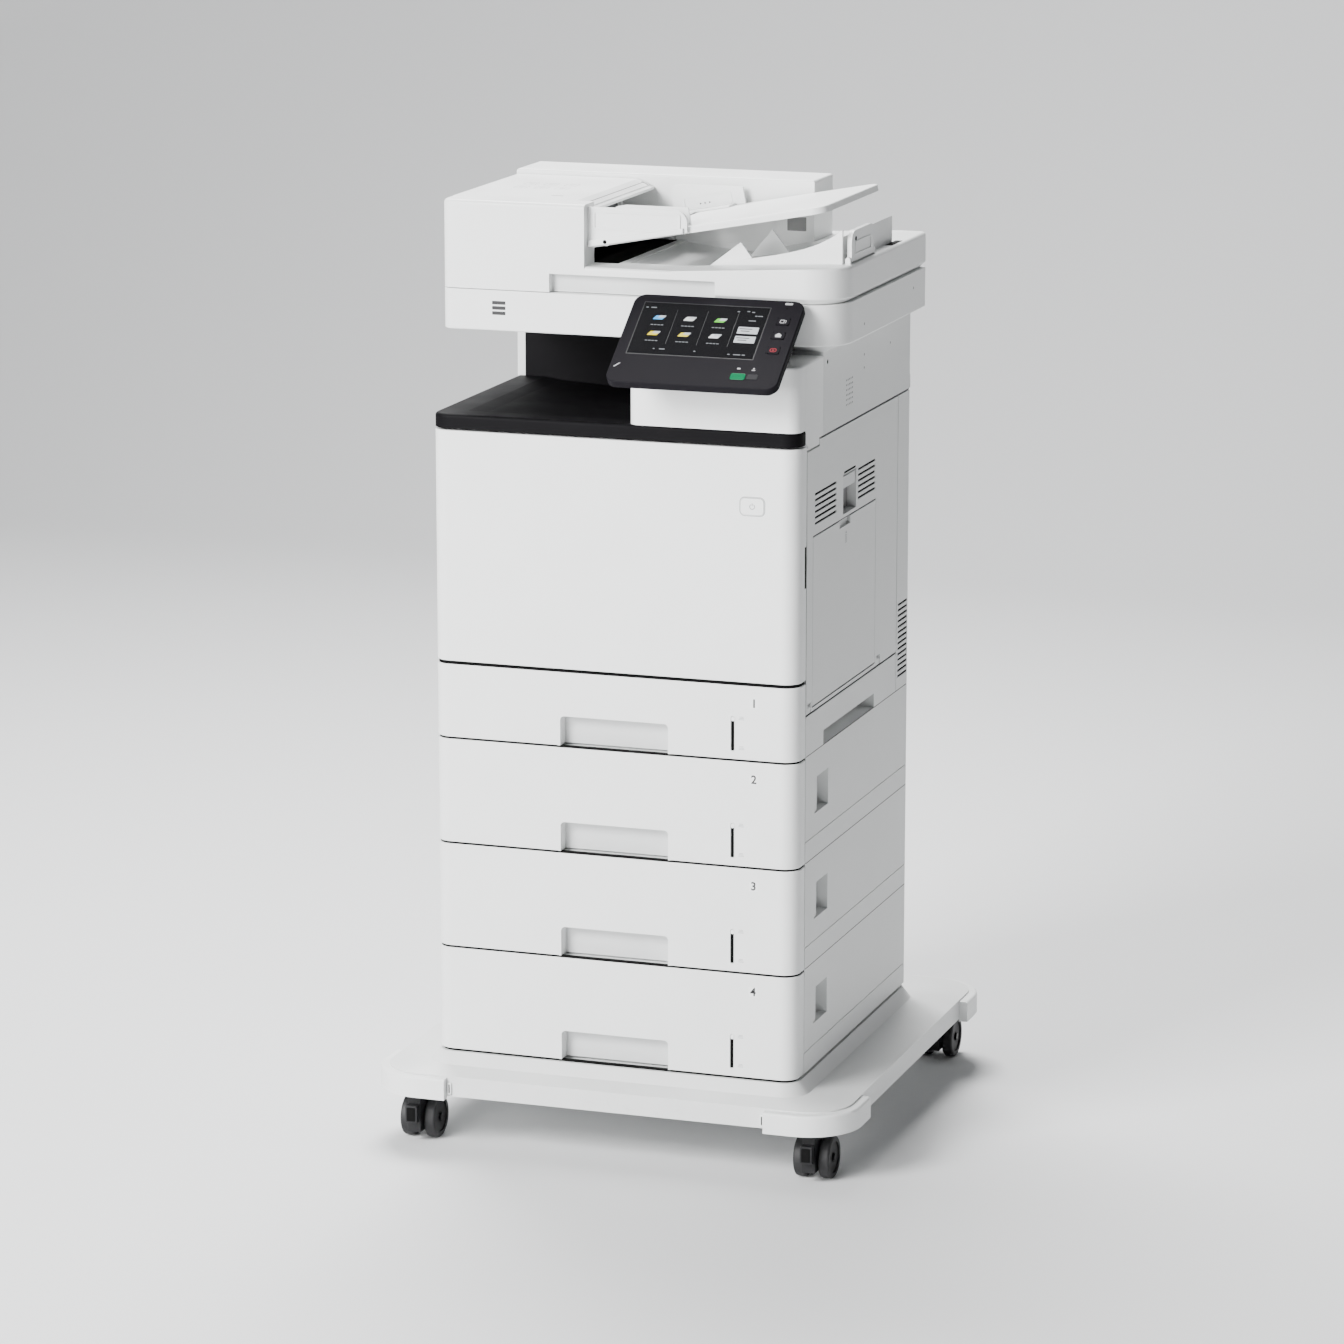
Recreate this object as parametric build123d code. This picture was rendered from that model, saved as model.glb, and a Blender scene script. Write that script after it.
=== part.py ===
from build123d import *
import os
from math import cos, radians, sin

os.makedirs("parts", exist_ok=True)

# A floor-standing colour copier: a caster base, three paper feeders, the main unit with its own
# cassette, a scanner with a document feeder, and a tilting control panel.
# Millimetres. While it is modelled, x = 0 is the middle of the body, y = 0 the front face and
# z = 0 the floor; save() moves each piece so that the origin is under the middle of the whole.

# ---- overall sizes
BODY_W = 458.0
BODY_D = 465.0
FEEDER_H = 130.0
CASSETTE_1_H = 92.0
DOOR_H = 284.0
LIP_H = 17.0
BAY_H = 96.0
FEEDER_COUNT = 3

# ---- skins, gaps and fits
SKIN = 3.0
PANEL_GAP = 2.5
SIDE_GAP = 2.0
RUNNING = 0.05
PIN_R = 2.0
FRONT_R = 20.0
REAR_R = 8.0
FRONT_WRAP = 33.0

# ---- caster base
BASE_SIDE = 66.0
BASE_FRONT = 34.0
BASE_REAR = 112.0
BASE_R = 55.0
RIM_CLEAR = 17.0
RIM_H = 25.0
EDGE_R = 1.2
DECK_RISE = 8.0
PLINTH_H = 14.0
PLINTH_FOOT = 12.0
PLINTH_GAP = 3.0
CAP_PROUD = 11.0
CAP_DROP = 3.0
CAP_REACH = 92.0
WHEEL_R = 26.0
WHEEL_W = 15.0
FORK_W = 16.0
TRAIL = 20.0
AXLE_R = 4.0
STEM_R = 5.5
STEM_GRIP = 17.0
BOSS_R = 24.0
CASTER_INSET = 43.0
CASTER_FRONT = 29.0
CASTER_REAR = 47.0

# ---- cassettes
HANDLE_W = 136.0
HANDLE_X = 1.0
HANDLE_H = 36.0
HANDLE_DEPTH = 18.0
LEVEL_X = 149.5
LEVEL_W = 4.5
LEVEL_Z = 10.0
LEVEL_H = 42.0
TRAY_W = 372.0
TRAY_BACK = 36.0
TRAY_FLOOR = 14.0
TRAY_TOP = 84.0
TRAY_1_TOP = 72.0
TRAY_SIDE_GAP = 4.0
LIFT_L = 210.0
LIFT_W = 300.0
LIFT_T = 2.0
LIFT_PIN_R = 2.0
ARM_X = 150.0
ARM_W = 24.0

# ---- right side
RIGHT_DOOR_T = 24.0
REAR_CORNER = 57.0
RIGHT_DOOR_Z = 51.0
RIGHT_STEP_Y = 84.0
RIGHT_STEP = 8.0
HINGE_IN = 5.0
LUG_R = 4.5
LUG_W = 14.0
LUG_FRONT = 47.0
LUG_BACK = 77.0
BYPASS_FRONT = 60.0
BYPASS_BACK = 93.0
BYPASS_H = 203.0
BYPASS_T = 7.0
BYPASS_PIVOT = 4.0
LATCH_W = 52.0
LATCH_OFF = 18.5
LATCH_Z = 215.0
LATCH_H = 48.0
LOUVRE_PITCH = 7.0
LOUVRE_T = 3.0

# ---- scanner and document feeder
SCANNER_RIGHT = 38.0
SCANNER_FRONT = 40.0
SCANNER_BACK = 65.0
SCANNER_H = 48.5
SCANNER_FRONT_R = 14.0
SCANNER_RIGHT_R = 50.0
GLASS_W = 360.0
GLASS_MARGIN = 50.0
GLASS_T = 3.0
LID_GAP = 1.0
LID_H = 32.0
HOOD_W = 180.0
HOOD_FRONT_D = 36.0
HOOD_H = 73.0
DRIVE_BACK = 88.0
DRIVE_D = 80.0
DRIVE_W = 383.0
DRIVE_H = 79.0
COVER_H = 33.0
LID_PIVOT_IN = 7.0
LID_PIVOT_UP = 10.5
FEED_TILT = 10.5
FEED_T = 8.0
FEED_L = 272.0
FEED_X = -26.0
FEED_UP = 24.0
FEED_FRONT = 60.0
FEED_GAP = 7.0
GUIDE_T = 3.0
GUIDE_H = 34.0
ROLLER_R = 12.0

# ---- control panel
PANEL_W = 208.0
PANEL_L = 146.0
PANEL_T = 16.0
PANEL_TILT = 36.0
PANEL_X = 124.0
PANEL_Y = -28.0
PANEL_UP = 12.0
SCREEN_W = 155.0
SCREEN_L = 86.0
KEY_W = 15.0
KEY_L = 11.0

# ---- places worked out from the sizes above
HALF_W = BODY_W / 2
RIM_BOTTOM = 2 * WHEEL_R + RIM_CLEAR
STEM_TOP = RIM_BOTTOM + STEM_GRIP
TRAY_L = BODY_D - FRONT_WRAP - TRAY_BACK
SCANNER_REAR = BODY_D - SCANNER_BACK
RIGHT_DOOR_BACK = BODY_D - REAR_CORNER
RIM_TOP = RIM_BOTTOM + RIM_H
DECK_Z = RIM_TOP + DECK_RISE
PLINTH_Z = DECK_Z + PLINTH_H
STACK_Z = PLINTH_Z + PLINTH_GAP
MAIN_Z = STACK_Z + FEEDER_COUNT * FEEDER_H
DOOR_Z = MAIN_Z + CASSETTE_1_H
LIP_Z = DOOR_Z + DOOR_H
BAY_Z = LIP_Z + LIP_H
SCANNER_Z = BAY_Z + BAY_H
SCANNER_TOP = SCANNER_Z + SCANNER_H
LID_Z = SCANNER_TOP + LID_GAP
LID_TOP = LID_Z + LID_H
HOOD_TOP = LID_TOP + HOOD_H
HOUSING_Y = FRONT_WRAP + SIDE_GAP
BASE_X = HALF_W + BASE_SIDE
CASTER_X = BASE_X - CASTER_INSET
CASTER_Y = (CASTER_FRONT - BASE_FRONT, BODY_D + BASE_REAR - CASTER_REAR)
PANEL_Z = SCANNER_Z + PANEL_UP
PANEL_REACH = PANEL_L / 2 * cos(radians(PANEL_TILT)) - PANEL_Y
BASE_REACH = BODY_D + BASE_REAR + CAP_PROUD
MID_Y = (BASE_REACH - PANEL_REACH) / 2
PANEL_LEFT = PANEL_X - 105.0
HOOD_X = -HALF_W + HOOD_W
HOOD_Y = SCANNER_FRONT + HOOD_FRONT_D
DRIVE_Y = BODY_D - DRIVE_BACK - DRIVE_D
FEED_Z = LID_TOP + FEED_UP
FEED_Y = (FEED_FRONT, DRIVE_Y - FEED_GAP)


def span(x, y, z):
    """Box between two corners, each range given as (low, high)."""
    ranges = (x, y, z)
    size = [high - low for low, high in ranges]
    middle = [(high + low) / 2 for low, high in ranges]
    return Pos(*middle) * Box(*size)


def plan(x, y, front_r, rear_r):
    """Rectangle seen from above, with its front and rear corners rounded."""
    face = Pos((x[0] + x[1]) / 2, (y[0] + y[1]) / 2) * Rectangle(x[1] - x[0], y[1] - y[0])
    if front_r > 0:
        face = fillet(face.vertices().group_by(Axis.Y)[0], front_r)
    if rear_r > 0:
        face = fillet(face.vertices().group_by(Axis.Y)[-1], rear_r)
    return face


def slab(x, y, z, front_r=0.0, rear_r=0.0):
    """Upright block with rounded front and rear corners."""
    return Pos(0, 0, z[0]) * extrude(plan(x, y, front_r, rear_r), amount=z[1] - z[0])


def rod(axis, ends, at, radius):
    """Cylinder along X, Y or Z between two ends, at the other two coordinates."""
    length = ends[1] - ends[0]
    middle = (ends[0] + ends[1]) / 2
    if axis == "X":
        return Pos(middle, at[0], at[1]) * Rot(0, 90, 0) * Cylinder(radius, length)
    if axis == "Y":
        return Pos(at[0], middle, at[1]) * Rot(90, 0, 0) * Cylinder(radius, length)
    return Pos(at[0], at[1], middle) * Cylinder(radius, length)


def run_back(face, y):
    """Solid with a front-view outline, drawn in x and z, that runs back from y[0] to y[1]."""
    return Pos(0, y[0], 0) * extrude(face, amount=y[1] - y[0], dir=(0, 1, 0))


def save(name, shape):
    """Write one piece, moved so that the origin is under the middle of the whole."""
    export_step(Pos(0, -MID_Y, 0) * shape, f"parts/{name}.step")


def grow(ends, by):
    """A range made longer by the same amount at both ends."""
    return (ends[0] - by, ends[1] + by)


# ---------------------------------------------------------------- caster base
BODY_X = (-HALF_W, HALF_W)
BODY_Y = (0.0, BODY_D)
RIM_X = (-BASE_X, BASE_X)
RIM_Y = (-BASE_FRONT, BODY_D + BASE_REAR)


def base_platform():
    """Rim, crowned deck and plinth in one moulding, hollow below, with a boss over each caster."""
    rim = slab(RIM_X, RIM_Y, (RIM_BOTTOM, RIM_TOP), BASE_R, BASE_R)
    foot_r = FRONT_R + PLINTH_FOOT
    foot = plan(grow(BODY_X, PLINTH_FOOT), grow(BODY_Y, PLINTH_FOOT), foot_r, foot_r)
    edge = plan(RIM_X, RIM_Y, BASE_R, BASE_R)
    deck = loft([Pos(0, 0, RIM_TOP) * edge, Pos(0, 0, DECK_Z) * foot])
    top = plan(grow(BODY_X, 1.0), grow(BODY_Y, 1.0), FRONT_R + 1.0, FRONT_R + 1.0)
    plinth = loft([Pos(0, 0, DECK_Z) * foot, Pos(0, 0, PLINTH_Z) * top])
    seat = span((-180.0, 180.0), (HOUSING_Y + 10.0, BODY_D - 20.0), (PLINTH_Z, STACK_Z))
    pocket_z = (RIM_BOTTOM - 1.0, RIM_TOP - 4.0)
    pocket = slab(grow(RIM_X, -5.0), grow(RIM_Y, -5.0), pocket_z, BASE_R - 5.0, BASE_R - 5.0)
    for rib_x in (-150.0, 0.0, 150.0):
        pocket -= span((rib_x - 2.0, rib_x + 2.0), RIM_Y, (RIM_BOTTOM + 4.0, RIM_TOP))
    for side in (-1, 1):
        for caster_y in CASTER_Y:
            pocket -= rod("Z", (RIM_BOTTOM - 2.0, RIM_TOP), (side * CASTER_X, caster_y), BOSS_R)
    shape = rim + deck + plinth + seat - pocket
    for side in (-1, 1):
        for caster_y in CASTER_Y:
            socket = (side * CASTER_X, caster_y)
            shape -= rod("Z", (RIM_BOTTOM - 1.0, STEM_TOP + 2.0), socket, STEM_R + RUNNING)
    return shape


def base_corner_caps():
    """Four clip-on caps that wrap the outside of the rim at its corners."""
    cap_z = (RIM_BOTTOM - CAP_DROP, RIM_TOP - 2.0)
    cap_r = BASE_R + CAP_PROUD
    outer = slab(grow(RIM_X, CAP_PROUD), grow(RIM_Y, CAP_PROUD), cap_z, cap_r, cap_r)
    outer = fillet(outer.faces().sort_by(Axis.Z)[-1].edges(), 3.0)
    ring = outer - slab(RIM_X, RIM_Y, grow(cap_z, 1.0), BASE_R, BASE_R)
    reach = CAP_REACH + CAP_PROUD
    caps = []
    for side in (-1, 1):
        for row_y in (RIM_Y[0] - CAP_PROUD, RIM_Y[1] + CAP_PROUD - reach):
            edge = side * (BASE_X + CAP_PROUD)
            x = tuple(sorted((edge, edge - side * reach)))
            caps.append(ring & span(x, (row_y, row_y + reach), grow(cap_z, 1.0)))
    return caps[0] + caps[1] + caps[2] + caps[3]


def caster_fork(x, y):
    """Stem, swivel hub, web between the wheels, axle and brake tab."""
    web_half = FORK_W / 2
    hub_z = WHEEL_R * 2 + 4.0
    shape = rod("Z", (hub_z, STEM_TOP), (x, y), STEM_R)
    shape += rod("Z", (hub_z, hub_z + 6.0), (x, y), 15.0)
    shape += span((x - web_half, x + web_half), (y - 14.0, y + TRAIL + 14.0), (14.0, hub_z + 1.0))
    shape += rod("X", (x - web_half - WHEEL_W, x + web_half + WHEEL_W), (y + TRAIL, WHEEL_R), AXLE_R)
    tab = span((x - 7.0, x + 7.0), (y - 24.0, y - 13.0), (28.0, 50.0))
    return shape + fillet(tab.edges().filter_by(Axis.X).group_by(Axis.Y)[0], 4.0)


def caster_wheels(x, y):
    """The two wheels of one caster, each with a rounded tread and a recessed face."""
    wheels = []
    for side in (-1, 1):
        near = x + side * (FORK_W / 2 + 0.5)
        far = near + side * (WHEEL_W - 1.0)
        ends = tuple(sorted((near, far)))
        wheel = rod("X", ends, (y + TRAIL, WHEEL_R), WHEEL_R)
        wheel = fillet(wheel.edges().filter_by(GeomType.CIRCLE), 3.0)
        dish = tuple(sorted((far + side, far - side * 2.0)))
        wheel -= rod("X", dish, (y + TRAIL, WHEEL_R), WHEEL_R - 7.0)
        wheels.append(wheel - rod("X", grow(ends, 1.0), (y + TRAIL, WHEEL_R), AXLE_R + RUNNING))
    return wheels[0] + wheels[1]


save("base_platform", base_platform())
save("base_corner_caps", base_corner_caps())
for corner, side, caster_y in (("front_left", -1, CASTER_Y[0]), ("front_right", 1, CASTER_Y[0]),
                               ("rear_left", -1, CASTER_Y[1]), ("rear_right", 1, CASTER_Y[1])):
    save(f"caster_fork_{corner}", caster_fork(side * CASTER_X, caster_y))
    save(f"caster_wheels_{corner}", caster_wheels(side * CASTER_X, caster_y))


# ---------------------------------------------------------------- cassettes and feeders
CAVITY_W = TRAY_W + 2 * TRAY_SIDE_GAP
HANDLE_RANGE = (HANDLE_X - HANDLE_W / 2, HANDLE_X + HANDLE_W / 2)
GRIP_CLEAR = HANDLE_DEPTH - 1.0


def front_shell(z, wall=SKIN):
    """Wrap-round front panel, open at the back."""
    outer = slab(BODY_X, (0.0, FRONT_WRAP), z, FRONT_R)
    ends = outer.faces().sort_by(Axis.Z)
    edges = ends[0].edges() + ends[-1].edges()
    outer = fillet(edges.filter_by(lambda edge: edge.center().Y < FRONT_WRAP - 1.0), EDGE_R)
    inner = slab(grow(BODY_X, -wall), (wall, FRONT_WRAP + 1.0), grow(z, -wall), FRONT_R - wall)
    return outer - inner


def cassette_front(z, height):
    """Drawer front with its grip pocket along the bottom edge and the paper level window."""
    shape = front_shell((z, z + height - PANEL_GAP))
    walls = span(grow(HANDLE_RANGE, SKIN), (0.0, HANDLE_DEPTH + SKIN), (z, z + HANDLE_H + SKIN))
    pocket = span(HANDLE_RANGE, (-1.0, HANDLE_DEPTH), (z - 1.0, z + HANDLE_H))
    pocket = fillet(pocket.edges().filter_by(Axis.Y).group_by(Axis.Z)[-1], 5.0)
    window = span((LEVEL_X - LEVEL_W / 2, LEVEL_X + LEVEL_W / 2), (-1.0, SKIN + 1.0),
                  (z + LEVEL_Z, z + LEVEL_Z + LEVEL_H))
    return shape + walls - pocket - window


def lift_hinge(z):
    """Pivot line of the lift plate, as y and z."""
    return (FRONT_WRAP + 40.0 + LIFT_L - 4.0, z + TRAY_FLOOR + SKIN + 3.0 + LIFT_T / 2)


def cassette_tray(z, top):
    """Open paper tray with two arms that carry the drawer front."""
    half = TRAY_W / 2
    y = (FRONT_WRAP + 1.0, FRONT_WRAP + TRAY_L)
    shape = span((-half, half), y, (z + TRAY_FLOOR, z + top))
    shape -= span((-half + SKIN, half - SKIN), grow(y, -SKIN), (z + TRAY_FLOOR + SKIN, z + top + 1.0))
    pivot = lift_hinge(z)
    for side in (-1, 1):
        arm = (side * ARM_X - ARM_W / 2, side * ARM_X + ARM_W / 2)
        shape += span(arm, (SKIN, y[0] + 1.0), (z + HANDLE_H + 10.0, z + top - 4.0))
        lug = tuple(sorted((side * (LIFT_W / 2 + 0.5), side * (LIFT_W / 2 + 6.0))))
        shape += span(lug, grow((pivot[0], pivot[0]), 5.0), (z + TRAY_FLOOR + 1.0, pivot[1] + 5.0))
        shape -= rod("X", lug, pivot, LIFT_PIN_R + RUNNING)
    return shape


def lift_plate(z):
    """Plate under the paper stack, with a rolled back edge and a pin at each end of it."""
    pivot = lift_hinge(z)
    y = (FRONT_WRAP + 40.0, pivot[0])
    bottom = pivot[1] - LIFT_T / 2
    plate = span((-LIFT_W / 2, LIFT_W / 2), y, (bottom, bottom + LIFT_T))
    plate -= span((-20.0, 20.0), (y[0] - 1.0, y[0] + 60.0), grow((bottom, bottom + LIFT_T), 1.0))
    return plate + rod("X", grow((-LIFT_W / 2, LIFT_W / 2), 4.0), pivot, LIFT_PIN_R)


def feeder_housing(z):
    """Add-on feeder body: cassette cavity open to the front, side grips and a waist line."""
    body_z = (z, z + FEEDER_H)
    shape = slab(BODY_X, (HOUSING_Y, BODY_D), body_z, 0.0, REAR_R)
    shape -= span((-CAVITY_W / 2, CAVITY_W / 2), (HOUSING_Y - 1.0, FRONT_WRAP + TRAY_L + 6.0),
                  (z + TRAY_FLOOR - 4.0, z + FEEDER_H - 8.0))
    for side in (-1, 1):
        face = side * HALF_W
        grip = tuple(sorted((face + side, face - side * 14.0)))
        pocket = span(grip, (72.0, 126.0), (z + 53.0, z + 97.0))
        flap_x = tuple(sorted((face - side * 2.0, face - side * 14.0)))
        flap = span(flap_x, (74.0, 86.0), (z + 53.0, z + 97.0))
        line = span(tuple(sorted((face + side, face - side * 1.2))), (HOUSING_Y - 1.0, BODY_D - 12.0),
                    (z + 25.4, z + 26.6))
        shape -= (pocket - flap) + line
    return shape


for number in range(1, 5):
    module_z = MAIN_Z - (number - 1) * FEEDER_H
    height = CASSETTE_1_H if number == 1 else FEEDER_H
    tray_top = TRAY_1_TOP if number == 1 else TRAY_TOP
    save(f"cassette_{number}_front", cassette_front(module_z, height))
    save(f"cassette_{number}_tray", cassette_tray(module_z, tray_top))
    save(f"cassette_{number}_lift_plate", lift_plate(module_z))
    if number > 1:
        save(f"feeder_{number}_housing", feeder_housing(module_z))


# ---------------------------------------------------------------- main unit
SHEET = 2.0
FRAME_LEFT = -HALF_W + 5.0
FRAME_RIGHT = HALF_W - RIGHT_DOOR_T - 5.0
FRAME_BACK = BODY_D - 25.0
SHELF_Z = DOOR_Z + 3.0
COVER_TOP = LIP_Z - PANEL_GAP
DOOR_PIVOT = (6.0, DOOR_Z + PANEL_GAP - 1.0 + 6.0)
DOOR_LUG_X = 200.0
DOOR_LUG_HALF = 3.0
POWER_AT = (173.0, DOOR_Z + 212.5)
POWER_SIZE = (28.0, 19.5)
BAY_D = BODY_D - 169.0
INLET_X = (-190.0, -140.0)
INLET_Z = (MAIN_Z + 22.0, MAIN_Z + 52.0)
SIDE_Z = MAIN_Z + RIGHT_DOOR_Z
SIDE_PIVOT = (HALF_W - HINGE_IN, SIDE_Z + HINGE_IN)
RIGHT_DOOR_X = (HALF_W - RIGHT_DOOR_T, HALF_W)
LUG_Y = (LUG_FRONT, RIGHT_DOOR_BACK - LUG_BACK)
BYPASS_Y = (BYPASS_FRONT, RIGHT_DOOR_BACK - BYPASS_BACK)
BYPASS_Z = (SIDE_Z + 6.0, SIDE_Z + 6.0 + BYPASS_H)
BYPASS_AT = (HALF_W - BYPASS_PIVOT, BYPASS_Z[0] + BYPASS_PIVOT)
BYPASS_PIN_R = 1.5
LATCH_MIDDLE = (BYPASS_Y[0] + BYPASS_Y[1]) / 2 + LATCH_OFF
LATCH_Y = (LATCH_MIDDLE - LATCH_W / 2, LATCH_MIDDLE + LATCH_W / 2)
LATCH_RANGE = (SIDE_Z + LATCH_Z, SIDE_Z + LATCH_Z + LATCH_H)
LATCH_AT = (HALF_W - 4.5, LATCH_RANGE[1] - 6.0)
CARRY_Y = (105.0, RIGHT_DOOR_BACK - BYPASS_BACK)
CARRY_Z = (MAIN_Z - 1.0, MAIN_Z + 18.0)
LIP_WRAP = 28.0
SKIRT_X = (HALF_W - RIGHT_DOOR_T, HALF_W)
COLUMN_Y = (97.0, BODY_D - 4.0)
BASE_Y = (0.0, COLUMN_Y[0] - 0.5)
PANEL_PIVOT = (12.0, SCANNER_Z + 5.0)
BELT_TOP = SHELF_Z + SHEET + 84.0
TONER_PITCH = 78.0


def main_frame():
    """Folded steel chassis: floor, shelf over cassette 1, top, left, right and rear plates."""
    x = (FRAME_LEFT, FRAME_RIGHT)
    y = (HOUSING_Y + 3.0, FRAME_BACK)
    z = (MAIN_Z, COVER_TOP)
    shape = span(x, y, (z[0], z[0] + SHEET))
    shape += span(x, y, (SHELF_Z, SHELF_Z + SHEET))
    shape += span(x, y, (z[1] - SHEET, z[1]))
    shape += span((x[0], x[0] + SHEET), y, z)
    shape += span((x[1] - SHEET, x[1]), y, z)
    shape += span(x, (y[1] - SHEET, y[1]), z)
    jam_opening_y = (70.0, RIGHT_DOOR_BACK - 28.0)
    shape -= span((x[1] - SHEET - 1.0, x[1] + 1.0), jam_opening_y, (SHELF_Z + 20.0, z[1] - 60.0))
    for side in (-1, 1):
        inner = side * DOOR_LUG_X
        lug_x = (inner - DOOR_LUG_HALF, inner + DOOR_LUG_HALF)
        arm_z = (DOOR_PIVOT[1] - 3.0, DOOR_PIVOT[1] + 3.0)
        shape += span(lug_x, (DOOR_PIVOT[0], y[0] + 3.0), arm_z)
        shape += rod("X", lug_x, DOOR_PIVOT, 3.0)
        shape += rod("X", grow(lug_x, 5.0), DOOR_PIVOT, PIN_R)
        wall_x = x[0] if side < 0 else x[1]
        ends = tuple(sorted((side * (DOOR_LUG_X - DOOR_LUG_HALF), wall_x)))
        shape += span(ends, (y[0], y[0] + 3.0), (SHELF_Z, arm_z[1] + 4.0))
    return shape


def rounded_bar(size, corner, at, y):
    """Rounded rectangle seen from the front, given by its middle in x and z, that runs back in y."""
    outline = Plane.XZ * (Pos(*at) * RectangleRounded(size[0], size[1], corner))
    return run_back(outline, y)


def front_door():
    """Toner door: wrap-round shell with two hinge bosses, power button hole and finger notch."""
    z = (DOOR_Z + PANEL_GAP - 1.0, LIP_Z - PANEL_GAP)
    shape = front_shell(z)
    for side in (-1, 1):
        for near, far in ((-12.0, -3.5), (3.5, 12.0)):
            x = tuple(sorted((side * DOOR_LUG_X + near, side * DOOR_LUG_X + far)))
            shape += span(x, (SKIN - 1.0, DOOR_PIVOT[0] + 3.5), (z[0] + 1.5, DOOR_PIVOT[1] + 3.5))
            shape -= rod("X", grow(x, 1.0), DOOR_PIVOT, PIN_R + RUNNING)
        slot_x = (side * DOOR_LUG_X - 3.5, side * DOOR_LUG_X + 3.5)
        shape -= span(slot_x, (SKIN, FRONT_WRAP + 1.0), (z[0] - 1.0, z[0] + SKIN + 1.0))
    button_x, button_z = POWER_AT
    cup = span((button_x - 18.0, button_x + 18.0), (SKIN - 1.0, 13.0), (button_z - 14.0, button_z + 14.0))
    cup -= span((button_x - 15.0, button_x + 15.0), (0.0, 11.0), (button_z - 11.0, button_z + 11.0))
    hole_size = (POWER_SIZE[0] + 1.0, POWER_SIZE[1] + 1.0)
    shape = shape + cup - rounded_bar(hole_size, 5.5, POWER_AT, (-1.0, SKIN))
    notch_z = (z[1] - 169.0, z[1] - 119.0)
    return shape - span((HALF_W - SKIN - 1.0, HALF_W + 1.0), (FRONT_WRAP - 6.0, FRONT_WRAP + 1.0), notch_z)


def power_button():
    """Rounded key cap with a flange that keeps it in the door."""
    cap = rounded_bar(POWER_SIZE, 5.0, POWER_AT, (-0.8, 7.0))
    half_w, half_h = POWER_SIZE[0] / 2 + 0.6, POWER_SIZE[1] / 2 + 0.85
    flange_x = (POWER_AT[0] - half_w, POWER_AT[0] + half_w)
    return cap + span(flange_x, (4.0, 7.0), (POWER_AT[1] - half_h, POWER_AT[1] + half_h))


def left_cover():
    """Left side panel with a louvre bank, and the column behind the output bay."""
    side_x = (-HALF_W, FRAME_LEFT)
    cover = span(side_x, (HOUSING_Y, BODY_D - 4.0), (MAIN_Z, COVER_TOP))
    cover += span(side_x, (BAY_D, BODY_D - 4.0), (COVER_TOP, SCANNER_Z))
    cover += span((-HALF_W, -HALF_W + 10.0), (BAY_D, BODY_D - 4.0), (COVER_TOP, SCANNER_Z))
    for row in range(10):
        slot_z = MAIN_Z + 250.0 + row * LOUVRE_PITCH
        cover -= span(grow(side_x, 1.0), (BODY_D - 135.0, BODY_D - 45.0), (slot_z, slot_z + LOUVRE_T))
    return cover - span((-HALF_W - 1.0, -HALF_W + 3.0), CARRY_Y, CARRY_Z)


def rear_cover():
    """Back panel with two louvre banks and the opening for the mains inlet."""
    shape = span((-HALF_W + 1.0, HALF_W - 25.0), (BODY_D - 4.0, BODY_D), (MAIN_Z, SCANNER_Z))
    through = (BODY_D - 5.0, BODY_D + 1.0)
    for row in range(14):
        slot_z = MAIN_Z + 260.0 + row * LOUVRE_PITCH
        for louvre_x in ((-170.0, -60.0), (40.0, 150.0)):
            shape -= span(louvre_x, through, (slot_z, slot_z + LOUVRE_T))
    shelf_y = (BAY_D + 5.0, BODY_D - 3.0)
    shape += span((-HALF_W + 10.0, PANEL_LEFT), shelf_y, (SCANNER_Z - SKIN, SCANNER_Z))
    return shape - span(INLET_X, through, INLET_Z)


def mains_inlet():
    """Appliance inlet: a socket block with its recess and three flat pins."""
    shape = span(INLET_X, (BODY_D - 24.0, BODY_D - 1.0), INLET_Z)
    x = (INLET_X[0] + INLET_X[1]) / 2
    z = (INLET_Z[0] + INLET_Z[1]) / 2
    shape -= span((x - 12.0, x + 12.0), (BODY_D - 18.0, BODY_D), (z - 8.0, z + 8.0))
    for pin_x, pin_z in ((x - 7.0, z - 2.5), (x, z + 3.0), (x + 7.0, z - 2.5)):
        pin = span((pin_x - 1.0, pin_x + 1.0), (BODY_D - 19.0, BODY_D - 4.0), (pin_z - 2.0, pin_z + 2.0))
        shape += pin
    return shape


def right_rear_cover():
    """Rear right corner cover with the lower louvre bank round its corner."""
    y = (RIGHT_DOOR_BACK + SIDE_GAP, BODY_D)
    outer = slab((HALF_W - 24.0, HALF_W), y, (MAIN_Z, COVER_TOP), 0.0, REAR_R)
    inner_z = (MAIN_Z + SKIN, COVER_TOP - SKIN)
    shape = outer - slab((HALF_W - 25.0, HALF_W - SKIN), grow(y, -SKIN), inner_z, 0.0, REAR_R - SKIN)
    louvre_x = (HALF_W - SKIN - 1.0, HALF_W + 1.0)
    for row in range(14):
        slot_z = MAIN_Z + 16.0 + row * LOUVRE_PITCH
        shape -= span(louvre_x, (y[0] + 6.0, BODY_D - REAR_R), (slot_z, slot_z + LOUVRE_T))
    return shape


def right_lower_cover():
    """Cover below the right door, with the carry recess and the lugs the door turns on."""
    top = SIDE_Z - PANEL_GAP
    shape = span((FRAME_RIGHT, HALF_W), (HOUSING_Y, RIGHT_DOOR_BACK), (MAIN_Z, top))
    shape -= span((HALF_W - 22.0, HALF_W + 1.0), CARRY_Y, CARRY_Z)
    for lug_y in LUG_Y:
        ends = (lug_y - LUG_W / 2, lug_y + LUG_W / 2)
        shape += span((SIDE_PIVOT[0] - 4.0, SIDE_PIVOT[0] + 4.0), ends, (top - 1.0, SIDE_PIVOT[1]))
        shape += rod("Y", ends, SIDE_PIVOT, LUG_R)
        shape += rod("Y", grow(ends, 4.5), SIDE_PIVOT, PIN_R)
    return shape


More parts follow.
